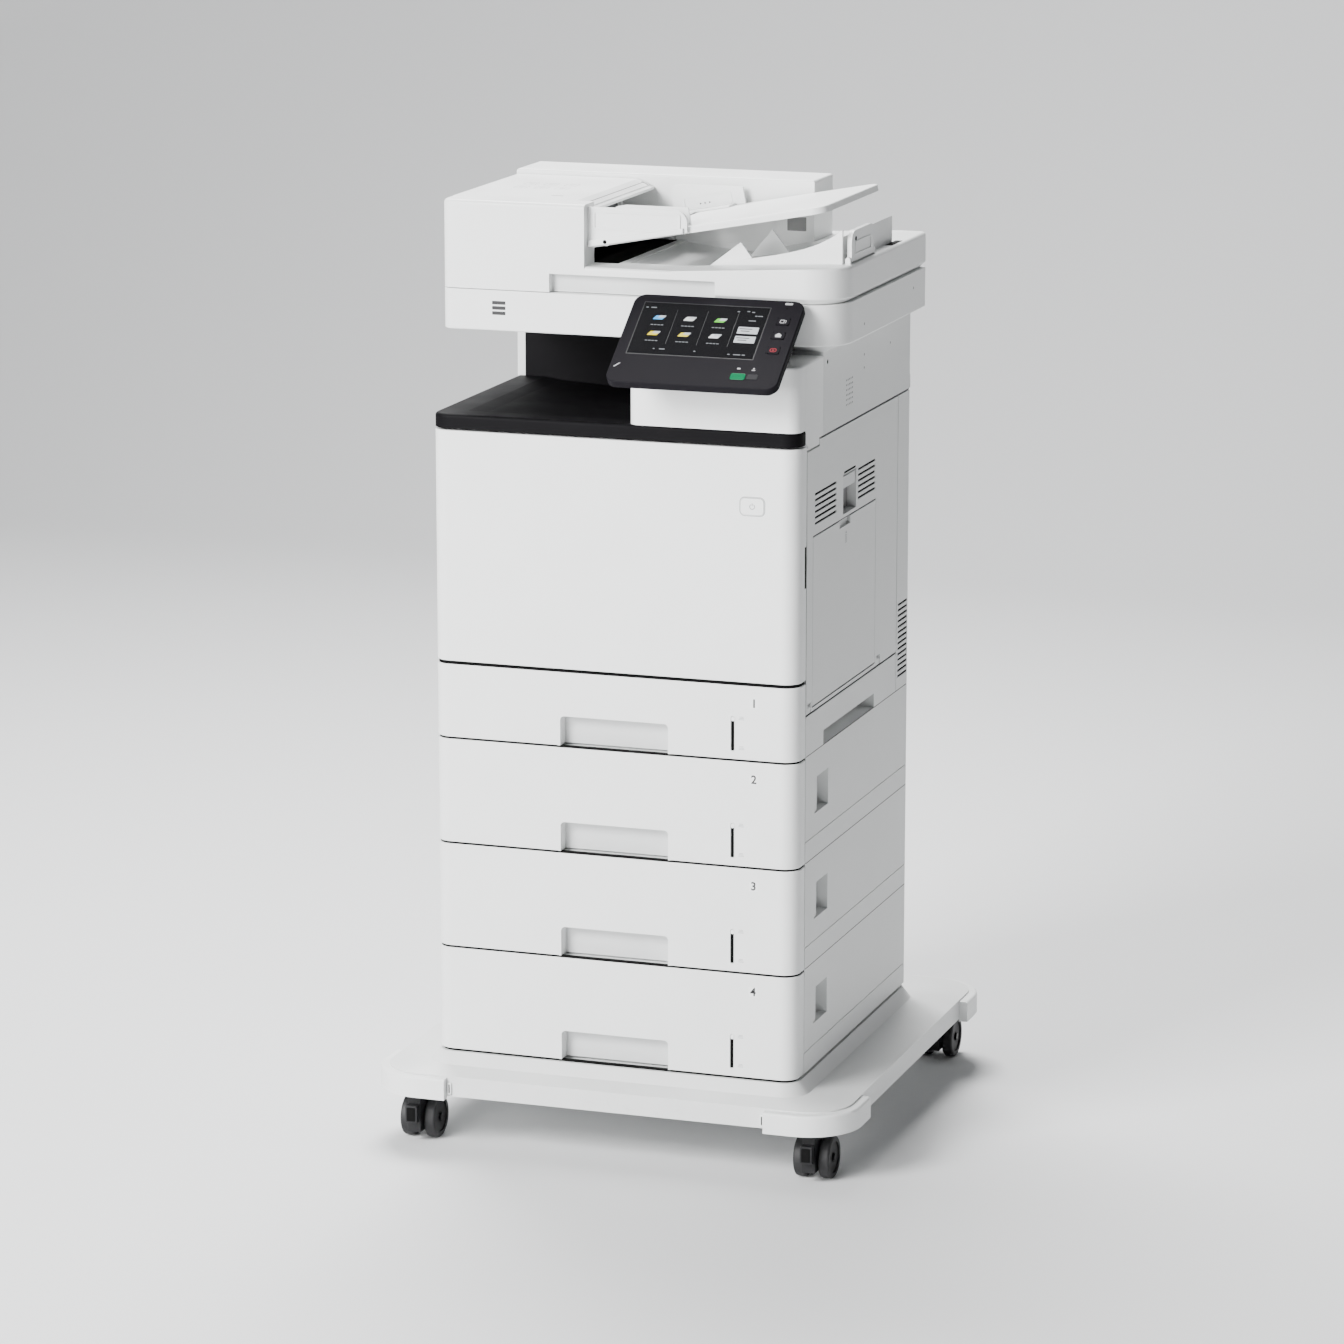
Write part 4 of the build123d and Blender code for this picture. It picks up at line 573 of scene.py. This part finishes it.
door_low, door_high = (corner.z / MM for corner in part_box("right_door"))
latch_low, latch_high = (corner.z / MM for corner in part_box("door_latch"))
latch_y = (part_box("door_latch")[0].y - FRONT_Y) / MM - 1
stack_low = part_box("feeder_4_housing")[0].z / MM
lower_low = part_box("right_lower_cover")[0].z / MM
door_middle = (door_low + door_high) / 2
for seam_name, body, width, height, y, z in (
        ("stack_front", "tower", SEAM_W, lower_low - stack_low - 4, SEAM_FRONT_Y, (lower_low + stack_low) / 2),
        ("unit_front", "tower", SEAM_W, door_low - lower_low - 4, SEAM_FRONT_Y, (lower_low + door_low) / 2),
        ("door_front", "right_door", SEAM_W, door_high - door_low - 10, DOOR_FRONT_Y, door_middle - 4.5),
        ("door_back", "tower", 1.6, door_high - door_low, DOOR_BACK_Y, door_middle),
        ("door_top", "tower", 364.0, 1.8, 275.0, door_high + DOOR_TOP_GAP),
        ("door_foot", "tower", 370.0, 1.8, 222.0, door_low - DOOR_FOOT_GAP)):
    strip = plate(rounded_outline(width, height, 0.4, 3), 0.2)
    side_mark(f"seam_{seam_name}", strip, y, z, seam_grey, body, SEAM_DEEP)
for joint in (2, 3, 4):
    joint_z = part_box(f"feeder_{joint}_housing")[1].z / MM
    side_mark(f"seam_feeder_{joint}", plate(rounded_outline(420.0, 1.0, 0.3, 3), 0.05), 246.0, joint_z,
              seam_grey, "tower")
tray_low, tray_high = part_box("bypass_tray")
tray_size = ((tray_high.y - tray_low.y) / MM + 2.1, (tray_high.z - tray_low.z) / MM + 2.2)
side_mark("seam_bypass", frame_ring(rounded_outline(*tray_size, 1.0, 3), 0.8, 0.1),
          ((tray_low.y + tray_high.y) / 2 - FRONT_Y) / MM, (tray_low.z + tray_high.z) / 2 / MM, seam_grey,
          "right_door", SEAM_DEEP)
slots = []
for start, end in ((-114.0, -28.0), (60.0, 132.0)):
    for row in range(6):
        for part in range(3):
            length = (end - start) / 3
            middle = (start + length * (part + 0.5), LOUVRE_PITCH * row)
            opening = rounded_outline(length - 3.0, LOUVRE_T, 0.6, 3, middle)
            slots.append(plate(opening, 0.2, 0.0, 1.6))
side_mark("latch_louvres", gathered(slots), latch_y, latch_low - 21.5, slot_shadow, "right_door", 1.0)
latch_middle = latch_y + 26.0
side_mark("latch_shade", plate(rounded_outline(49.0, 30.0, 1.5), 0.2), latch_middle, latch_low - 15.0,
          recess_shade_and_screw_grey, "right_door", 11.0)
side_mark("latch_line", plate(rounded_outline(47.0, 2.6, 0.8), 0.05), latch_middle, latch_high + 5.5,
          slot_shadow, "right_door")
slots = []
for row in range(14):
    for part in range(2):
        opening = rounded_outline(18.5, LOUVRE_T, 0.6, 3, (10.0 + 20.5 * part, LOUVRE_PITCH * row))
        slots.append(plate(opening, 0.2, 0.0, 2.3))
slots.append(plate(rounded_outline(48.0, 100.0, 1.0, 3, (20.25, 45.5)), -2.0, 0.0, 2.5))
side_mark("corner_louvres", gathered(slots), 416.0, lower_low + 17.5, slot_shadow, "tower", 0.8)
paper_sign = gathered([frame_ring(rounded_outline(7.0, 10.0, 1.0), 0.7, 0.05),
                       plate(rounded_outline(1.4, 7.0, 0.4), 0.05),
                       plate(np.array([(-2.6, 6.5), (2.6, 6.5), (0.0, 10.0)]), 0.05)])
side_mark("bypass_sign", paper_sign, latch_y + 12.0, latch_low - 62.0, grey_print, "bypass_tray")
holes = [plate(ring_outline(1.45, 12, (HOLE_PITCH * column, HOLE_PITCH * row)), 0.1)
         for row in range(6) for column in range(5)]
column_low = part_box("panel_base")[0].z / MM + 25.5
side_mark("speaker_holes", gathered(holes), 190.0, column_low + 4.0, seam_grey, "tower", 0.3)
screw_hole = plate(ring_outline(3.05, 24), 0.1, 0.0, 1.6)
side_mark("column_screw_hole", screw_hole, 113.0, column_low + 68.0, slot_shadow, "tower", 0.4)
dots = [plate(ring_outline(1.6, 16, (0.0, up)), 0.1) for up in (0.0, -24.0, -40.0)] + [
    plate(ring_outline(1.6, 16, (110.0, -26.0)), 0.1)]
side_mark("column_screws", gathered(dots), 262.0, column_low + 78.0, recess_shade_and_screw_grey, "tower")

# ---------------------------------------------------------------- toner, belt, fuser and laser
# Four toner bottles in line over the transfer belt, with the laser box above and the fuser on the
# right. Black ABS bottles, each with a coloured grip so that it goes back in its own bay.
toner_plastic = moulded_plastic("toner_plastic", (0.04, 0.04, 0.045), 0.5, 0.8, 0.02)
engine_plastic = moulded_plastic("engine_plastic", (0.20, 0.20, 0.21), 0.5, 0.8, 0.02)
dress(toner_plastic, "toner_cartridges")
dress(engine_plastic, "transfer_belt_unit", "fuser_unit", "laser_unit")
TONER_COLOURS = {"yellow": (0.70, 0.46, 0.005), "magenta": (0.36, 0.004, 0.09), "cyan": (0.004, 0.13, 0.36),
                 "black": (0.012, 0.012, 0.012)}
BOTTLE_PITCH, FIRST_BOTTLE_X, GRIP_UP = 78, 33, 46 * MM
low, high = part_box("toner_cartridges")
for index, (colour_name, colour) in enumerate(TONER_COLOURS.items()):
    grip_plastic = moulded_plastic(f"toner_{colour_name}_plastic", colour, 0.4, 0.7, 0.012)
    grip_at = (low.x + (FIRST_BOTTLE_X + BOTTLE_PITCH * index) * MM, low.y, low.z + GRIP_UP)
    piece(f"toner_grip_{colour_name}", plate(rounded_outline(24, 28, 3.0), 1.5, 1.0), grip_at, "front",
          grip_plastic, "tower")


# ---------------------------------------------------------------- output bay
# The exit tray drops in from above: one black ABS moulding with a front lip, a bowl that falls away
# from the exit rollers, and low ribs that let the last sheet be picked up.
BAY_BLACK = (0.0045, 0.0042, 0.005)
bay_plastic = moulded_plastic("bay_plastic", BAY_BLACK, 0.6, 0.9, 0.03, 0.08, shine=0.06)
dress(bay_plastic, "output_tray", "bay_rear_wall")


# ---------------------------------------------------------------- scanner
# Flatbed scanner: a white tub with 3 mm float glass let into its top and a lamp bar on a rail.
# Three small windows in its front light up while a job is received.
def float_glass(name):
    """Clear glass with a faint green cast and a few dust specks."""
    material, shader, coords = new_shader(name)
    dust = scaled(material, speckle(material, coords, 5.0, 6.0), 0.02, 0.12, (0.5, 0.8))
    material.node_tree.links.new(dust, shader.inputs["Roughness"])
    shader.inputs["Base Color"].default_value = (0.90, 0.97, 0.94, 1)
    shader.inputs["Transmission Weight"].default_value = 0.9
    shader.inputs["IOR"].default_value = 1.5
    return material


dress(front_plastic, "scanner_base")
dress(float_glass("platen_glass_clear"), "platen_glass")
dress(engine_plastic, "scan_carriage")
low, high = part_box("scanner_base")
tub_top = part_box("platen_glass")[1].z
WINDOW_PITCH = 6.2
bars = [plate(rounded_outline(17, 4.2, 0.8, 4, (0, row * WINDOW_PITCH)), 0.1) for row in (-1, 0, 1)]
SCREW_SPOTS = ((95.0, 16.0), (300.0, 30.0))
screws = gathered([plate(ring_outline(1.7, 16, spot), 0.1) for spot in SCREW_SPOTS])
piece("scanner_screws", screws, (high.x, low.y, low.z), "right", recess_shade_and_screw_grey, "tower")
piece("job_windows", gathered(bars), (low.x + 72.5 * MM, low.y, tub_top - 21 * MM), "front",
      dark_print, "tower")

# ---------------------------------------------------------------- document feeder
# The feeder lies on the scanner and opens on two rear hinges: a hood over the pick-up roller, a
# tilted tray for originals, two linked side guides, and a bowl below for the sheets that come out.
FEEDER_WHITE = (0.81, 0.82, 0.815)
feeder_plastic = moulded_plastic("feeder_plastic", FEEDER_WHITE, 0.42, 0.7, 0.012, 0.015)
roller_rubber = moulded_plastic("roller_rubber", (0.05, 0.05, 0.055), 0.7, 0.6, 0.03, 0.1)
SIGN_PITCH = (26.0, 34.0)
TICK_PITCH = 6
dress(feeder_plastic, "adf_lid", "feed_cover", "drive_cover", "document_tray", "guide_front", "guide_rear",
      "document_stopper")
dress(roller_rubber, "feed_roller")
FEED_TILT = radians(10.5)
VISOR_SLOPE = atan2(9.0, 21.0)
FACES["guide"] = ((cos(FEED_TILT), 0, sin(FEED_TILT)), (-sin(FEED_TILT), 0, cos(FEED_TILT)), (0, -1, 0))
FACES["visor"] = ((0, 1, 0), (-cos(VISOR_SLOPE), 0, sin(VISOR_SLOPE)), (sin(VISOR_SLOPE), 0, cos(VISOR_SLOPE)))
cover_low, cover_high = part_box("feed_cover")
drive_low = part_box("drive_cover")[0]
lid_low, lid_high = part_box("adf_lid")
LID_DECK_Z = drive_low.z
DRIVE_FRONT_Y = drive_low.y + 5 * MM
visor_at = (cover_high.x - 10.5 * MM, (cover_low.y + cover_high.y) / 2, cover_high.z - 4.5 * MM)
VISOR_L = (cover_high.y - cover_low.y) / MM - 8
piece("visor_strip", plate(rounded_outline(VISOR_L, 13.0, 2.0), 0.9, 0.5), visor_at, "visor",
      satin_white, "feed_cover")
split = [plate(rounded_outline(VISOR_L - 4, 0.9, 0.3, 3, (0.0, 1.5)), 1.0)]
split += [plate(rounded_outline(3.0, 9.0, 1.0, 3, (end * (VISOR_L / 2 - 5), -1.0)), 1.0) for end in (-1, 1)]
piece("visor_split", gathered(split), visor_at, "visor", dark_print, "feed_cover")
signs = []
for column in range(3):
    for row in range(2):
        sign_x, sign_y = SIGN_PITCH[0] * (column - 1), SIGN_PITCH[1] * row - 20.0
        signs.append(frame_ring(rounded_outline(16.0, 20.0, 1.5, 3, (sign_x, sign_y)), 0.8, 0.05))
        signs += [plate(rounded_outline(9.0 - 2 * line, 1.0, 0.3, 2, (sign_x, sign_y + 5 - 4 * line)), 0.05)
                  for line in range(3)]
faint_print = moulded_plastic("faint_print", (0.36, 0.36, 0.37), 0.5, 0.4, 0.004)
piece("loading_signs", gathered(signs), (cover_low.x + 78 * MM, cover_low.y + 118 * MM, cover_high.z), "top",
      faint_print, "feed_cover")
hood_sign_at = (cover_high.x - 58 * MM, cover_low.y + 34 * MM, cover_high.z)
piece("hood_sign", plate(rounded_outline(15.0, 5.0, 1.0), 0.05), hood_sign_at, "top",
      faint_print, "feed_cover")

# Painted shade: dark plates on the faces inside the paper mouth and the delivery slot below it, where no light
# reaches. Each row is a name, the face it lies on, its place behind the visor and above the deck, and its size.
mouth_width = (DRIVE_FRONT_Y - cover_low.y) / MM - 4
mouth_y = (DRIVE_FRONT_Y + cover_low.y) / 2
for shade_name, face, place_x, place_z, size in (
        ("mouth_floor", "top", -12.0, 0.2, (84.0, mouth_width)),
        ("ramp_top", "top", -28.0, 24.1, (56.0, mouth_width)),
        ("delivery_wall", "right", -59.0, 9.2, (mouth_width, 17.0)),
        ("mouth_wall", "right", -57.0, 40.0, (mouth_width, 33.0))):
    place = (cover_high.x + place_x * MM, mouth_y, LID_DECK_Z + place_z * MM)
    piece(shade_name, plate(rounded_outline(*size, 1.0), 0.2), place, face,
          slot_shadow, "feeder_lid")

WALL_Y = lid_low.y + 14 * MM
wall_at = (cover_high.x + 62 * MM, WALL_Y, LID_DECK_Z + 54 * MM)
piece("wall_frame", frame_ring(rounded_outline(108.0, 22.0, 3.0), 2.0, 1.2), wall_at, "front",
      satin_white, "feeder_lid")
bracket = np.array([(-60.0, -32.0), (58.0, -11.0), (58.0, -5.0), (-60.0, -24.0)])
piece("wall_bracket", plate(bracket, 3.0, 1.0), wall_at, "front", satin_white, "feeder_lid")
pivot_at = (cover_high.x + 23 * MM, WALL_Y, LID_DECK_Z + 29 * MM)
piece("wall_pivot", plate(ring_outline(2.4, 24), 3.4, 0.3), pivot_at, "front",
      slot_shadow, "feeder_lid")
guide_low, guide_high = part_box("guide_rear")
guide_at = ((guide_low.x + guide_high.x) / 2, guide_high.y - 3 * MM, (guide_low.z + guide_high.z) / 2)
piece("guide_frame", frame_ring(rounded_outline(62.0, 15.0, 2.5), 1.2, 0.8), guide_at, "guide",
      satin_white, "guide_rear")
ticks = [plate(ring_outline(1.5, 3, (TICK_PITCH * tick - 10.0, -2.0)), 0.2) for tick in range(3)]
piece("guide_ticks", gathered(ticks), guide_at, "guide", dark_print, "guide_rear")
# Painted shade: a dark grey plate in the recess of the drive cover's front wall.
drive_recess_shade_at = (cover_high.x + 182 * MM, DRIVE_FRONT_Y, LID_DECK_Z + 26 * MM)
piece("drive_recess_shade", plate(rounded_outline(24.0, 17.0, 1.0), 0.3), drive_recess_shade_at, "front",
      recess_shade_and_screw_grey, "feeder_lid")
fins = (("front", 56.0, ((130.0, -6.0), (198.0, 2.0), (177.0, 30.0))),
        ("rear", 140.0, ((160.0, 0.0), (210.0, 8.0), (189.0, 35.0))))
for fin_name, fin_y, corners in fins:
    fin = plate(np.array(corners), 1.5, 0.3, 1.5)
    piece(f"bowl_fin_{fin_name}", fin, (cover_high.x, lid_low.y + fin_y * MM, LID_DECK_Z), "front",
          feeder_plastic, "feeder_lid")
shade_at = (cover_high.x + 60 * MM, lid_low.y + 11.9 * MM, lid_low.z + 11.0 * MM)
piece("lift_shade", plate(rounded_outline(204.0, 20.0, 2.0), 0.2), shade_at, "front",
      pocket_shade, "feeder_lid")

stop_low, stop_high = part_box("document_stopper")
stop_middle = (stop_low.y + stop_high.y) / 2
piece("stopper_frame", frame_ring(rounded_outline(64.0, 16.0, 2.5), 1.6, 0.9),
      (stop_high.x, stop_middle, stop_low.z + 15 * MM), "right", satin_white, "document_stopper")
stop_pivot_at = (stop_high.x, stop_low.y + 16 * MM, stop_high.z - 10 * MM)
piece("stopper_pivot", plate(ring_outline(2.6, 24), 0.5), stop_pivot_at, "right",
      slot_shadow, "document_stopper")
deck_notch_at = (lid_high.x - 9 * MM, DRIVE_FRONT_Y - 12 * MM, LID_DECK_Z + 9.95 * MM)
piece("deck_notch", plate(rounded_outline(9.0, 46.0, 1.5), 0.2), deck_notch_at, "top",
      slot_shadow, "feeder_lid")


# ---------------------------------------------------------------- control panel
# A tilting panel on a friction hinge: charcoal ABS, a glass touch screen let in flush, three soft
# keys beside it and two status lamps under it.
PANEL_CHARCOAL = (0.0095, 0.0088, 0.011)
PANEL_TILT = radians(36)
panel_plastic = moulded_plastic("panel_plastic", PANEL_CHARCOAL, 0.5, 0.6, 0.015, 0.05, shine=0.03)
FACES["panel"] = ((1, 0, 0), (0, cos(PANEL_TILT), sin(PANEL_TILT)), (0, -sin(PANEL_TILT), cos(PANEL_TILT)))


def lit_glass(name, colour, strength, rough=0.12):
    """Glossy window lit from behind, with a fine dot grid in the light as a display has."""
    material, shader, coords = new_shader(name)
    links = material.node_tree.links
    glow = blended(material, scaled(material, speckle(material, coords, 1.2), 0.0, 1.0),
                   tuple(c * 0.85 for c in colour), colour)
    links.new(glow, shader.inputs["Base Color"])
    links.new(glow, shader.inputs["Emission Color"])
    shader.inputs["Emission Strength"].default_value = strength
    shader.inputs["Roughness"].default_value = rough
    shader.inputs["Specular IOR Level"].default_value = 0.35
    return material


dress(panel_plastic, "control_panel", "key_settings", "key_home", "key_stop")
dress(lit_glass("display_glass", (0.006, 0.006, 0.007), 0.05), "touch_screen")


def leaning(outline, lean):
    """An outline sheared to the right as it goes up."""
    return outline + np.stack([outline[:, 1] * lean, np.zeros(len(outline))], -1)


low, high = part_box("touch_screen")
display_middle = np.array([(low.x + high.x) / 2, (low.y + high.y) / 2, (low.z + high.z) / 2])
display_middle = display_middle + np.array(FACES["panel"][2]) * MM


def on_panel(name, mesh, x, y, material, body="control_panel"):
    """Piece on the panel's face, at millimetres right of and above the middle of the display."""
    across, up, _ = (np.array(direction, float) for direction in FACES["panel"])
    return piece(name, mesh, display_middle + (across * x + up * y) * MM, "panel", material, body)


def bar(width, height, x=0.0, y=0.0, thickness=0.10):
    """Small flat mark with rounded ends."""
    return plate(rounded_outline(width, height, min(width, height) * 0.3, 3, (x, y)), thickness)


shown_white = lit_glass("shown_white", (0.42, 0.44, 0.46), 0.4)
shown_grey = lit_glass("shown_grey", (0.16, 0.17, 0.18), 0.2)
TILE_X, TILE_Y = (-53.0, -15.5, 22.0), (18.0, -8.0)
TILES = (("blue", (0.06, 0.30, 0.62)), ("sheet", (0.55, 0.57, 0.55)),
         ("green", (0.10, 0.42, 0.05)), ("folder", (0.62, 0.50, 0.03)),
         ("card", (0.62, 0.52, 0.05)), ("paper", (0.55, 0.56, 0.56)))
labels = []
for index, (tile_name, colour) in enumerate(TILES):
    tile_x, tile_y = TILE_X[index % 3], TILE_Y[index // 3]
    tint = lit_glass(f"tile_{tile_name}", colour, 0.5)
    back = plate(leaning(rounded_outline(12.0, 6.5, 1.0), 0.5), 0.10)
    over = plate(leaning(rounded_outline(8.0, 3.6, 0.8, 4, (2.2, 1.6)), 0.5), 0.22)
    on_panel(f"tile_{tile_name}_back", back, tile_x, tile_y, tint)
    on_panel(f"tile_{tile_name}_over", over, tile_x, tile_y, shown_white)
    labels += [bar(3.2, 1.3, tile_x - 6.0 + 4.1 * mark, tile_y - 12.0) for mark in range(4)]
STATUS_MARKS = ((-72, 34, 3), (-64, 34, 7), (40, 34, 3), (52, 35, 3.5), (58, 34, 3.5), (63, 28, 3), (68, 28, 6),
                (60, 20, 9), (-46, -33, 2), (-36, -33, 7), (4, -34, 2.5), (46, -36, 3), (56, -36, 9), (64, -36, 4))
labels += [bar(mark_w, 1.5, mark_x, mark_y) for mark_x, mark_y, mark_w in STATUS_MARKS]
on_panel("display_labels", gathered(labels), 0, 0, shown_grey)
BOX_ROWS = (4.0, -11.0)
boxes = [plate(rounded_outline(25.0, 11.0, 0.8, 4, (59.0, box_y)), 0.10) for box_y in BOX_ROWS]
on_panel("display_boxes", gathered(boxes), 0, 0, shown_white)
rows = [bar(16.0 - 5.0 * row, 1.2, 56.0, box_y + 2.4 - 3.6 * row, 0.2) for box_y in BOX_ROWS for row in (0, 1)]
on_panel("display_box_text", gathered(rows), 0, 0, dark_print)
lines = [plate(rounded_outline(0.6, 56.0, 0.2, 3, (line_x, 4.0)), 0.06) for line_x in (-34.0, 3.5, 41.0)]
on_panel("display_lines", gathered(lines), 0, 0, dark_print)
edge_line = frame_ring(rounded_outline(155.6, 86.6, 1.0), 1.2, 0.08)
on_panel("display_edge", edge_line, 0, 0, dark_print)

printed_white = moulded_plastic("printed_white", (0.40, 0.40, 0.41), 0.4, 0.4, 0.003)
printed_red = moulded_plastic("printed_red", (0.26, 0.02, 0.03), 0.4, 0.4, 0.003, shine=0.1)
sound_sign = gathered([frame_ring(rounded_outline(5.4, 5.4, 1.0, 4, (-1.2, 0.0)), 0.8, 0.08),
                       plate(arc_strip(3.6, 0.8, -0.7, 0.7, 10, (-0.2, 0.0)), 0.08)])
house = np.array([(-3.4, -2.6), (3.4, -2.6), (3.4, 0.4), (4.4, 0.4), (0.0, 4.0), (-4.4, 0.4), (-3.4, 0.4)])
stop_sign = gathered([frame_ring(rounded_outline(8.0, 6.0, 2.4, 6), 0.9, 0.08), bar(3.0, 1.6)])
for key_name, sign, ink in (("key_settings", sound_sign, printed_white),
                            ("key_home", plate(house, 0.08), printed_white),
                            ("key_stop", stop_sign, printed_red)):
    low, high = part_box(key_name)
    key_top = np.array([(low.x + high.x) / 2, (low.y + high.y) / 2, (low.z + high.z) / 2])
    key_top = key_top + np.array(FACES["panel"][2]) * 2.4 * MM
    piece(f"{key_name}_sign", sign, key_top, "panel", ink, key_name)

green_lamp = lit_glass("green_lamp", (0.0, 0.13, 0.05), 0.4)
dark_lamp = moulded_plastic("dark_lamp", (0.018, 0.018, 0.02), 0.3, 0.4, 0.003, shine=0.1)
on_panel("ready_lamp", plate(rounded_outline(17.5, 10.0, 2.4), 0.5, 0.2), 66.5, -71.0, green_lamp)
on_panel("error_lamp", plate(rounded_outline(13.0, 8.0, 2.0), 0.4, 0.2), 84.0, -70.5, dark_lamp)
pen_lean = leaning(rounded_outline(2.0, 6.5, 0.6), 0.9)
panel_marks = gathered([plate(pen_lean + (-83.0, -62.0), 0.10), bar(4.0, 2.2, 64.5, -58.0),
                        bar(4.2, 1.4, 82.5, -59.5), bar(2.0, 2.0, 82.5, -57.0), bar(9.5, 3.2, 97.0, 50.5)])
on_panel("panel_marks", panel_marks, 0, 0, printed_white)
on_panel("light_sensor", plate(ring_outline(1.5, 20), 0.10), 96.5, 43.0, slot_shadow)
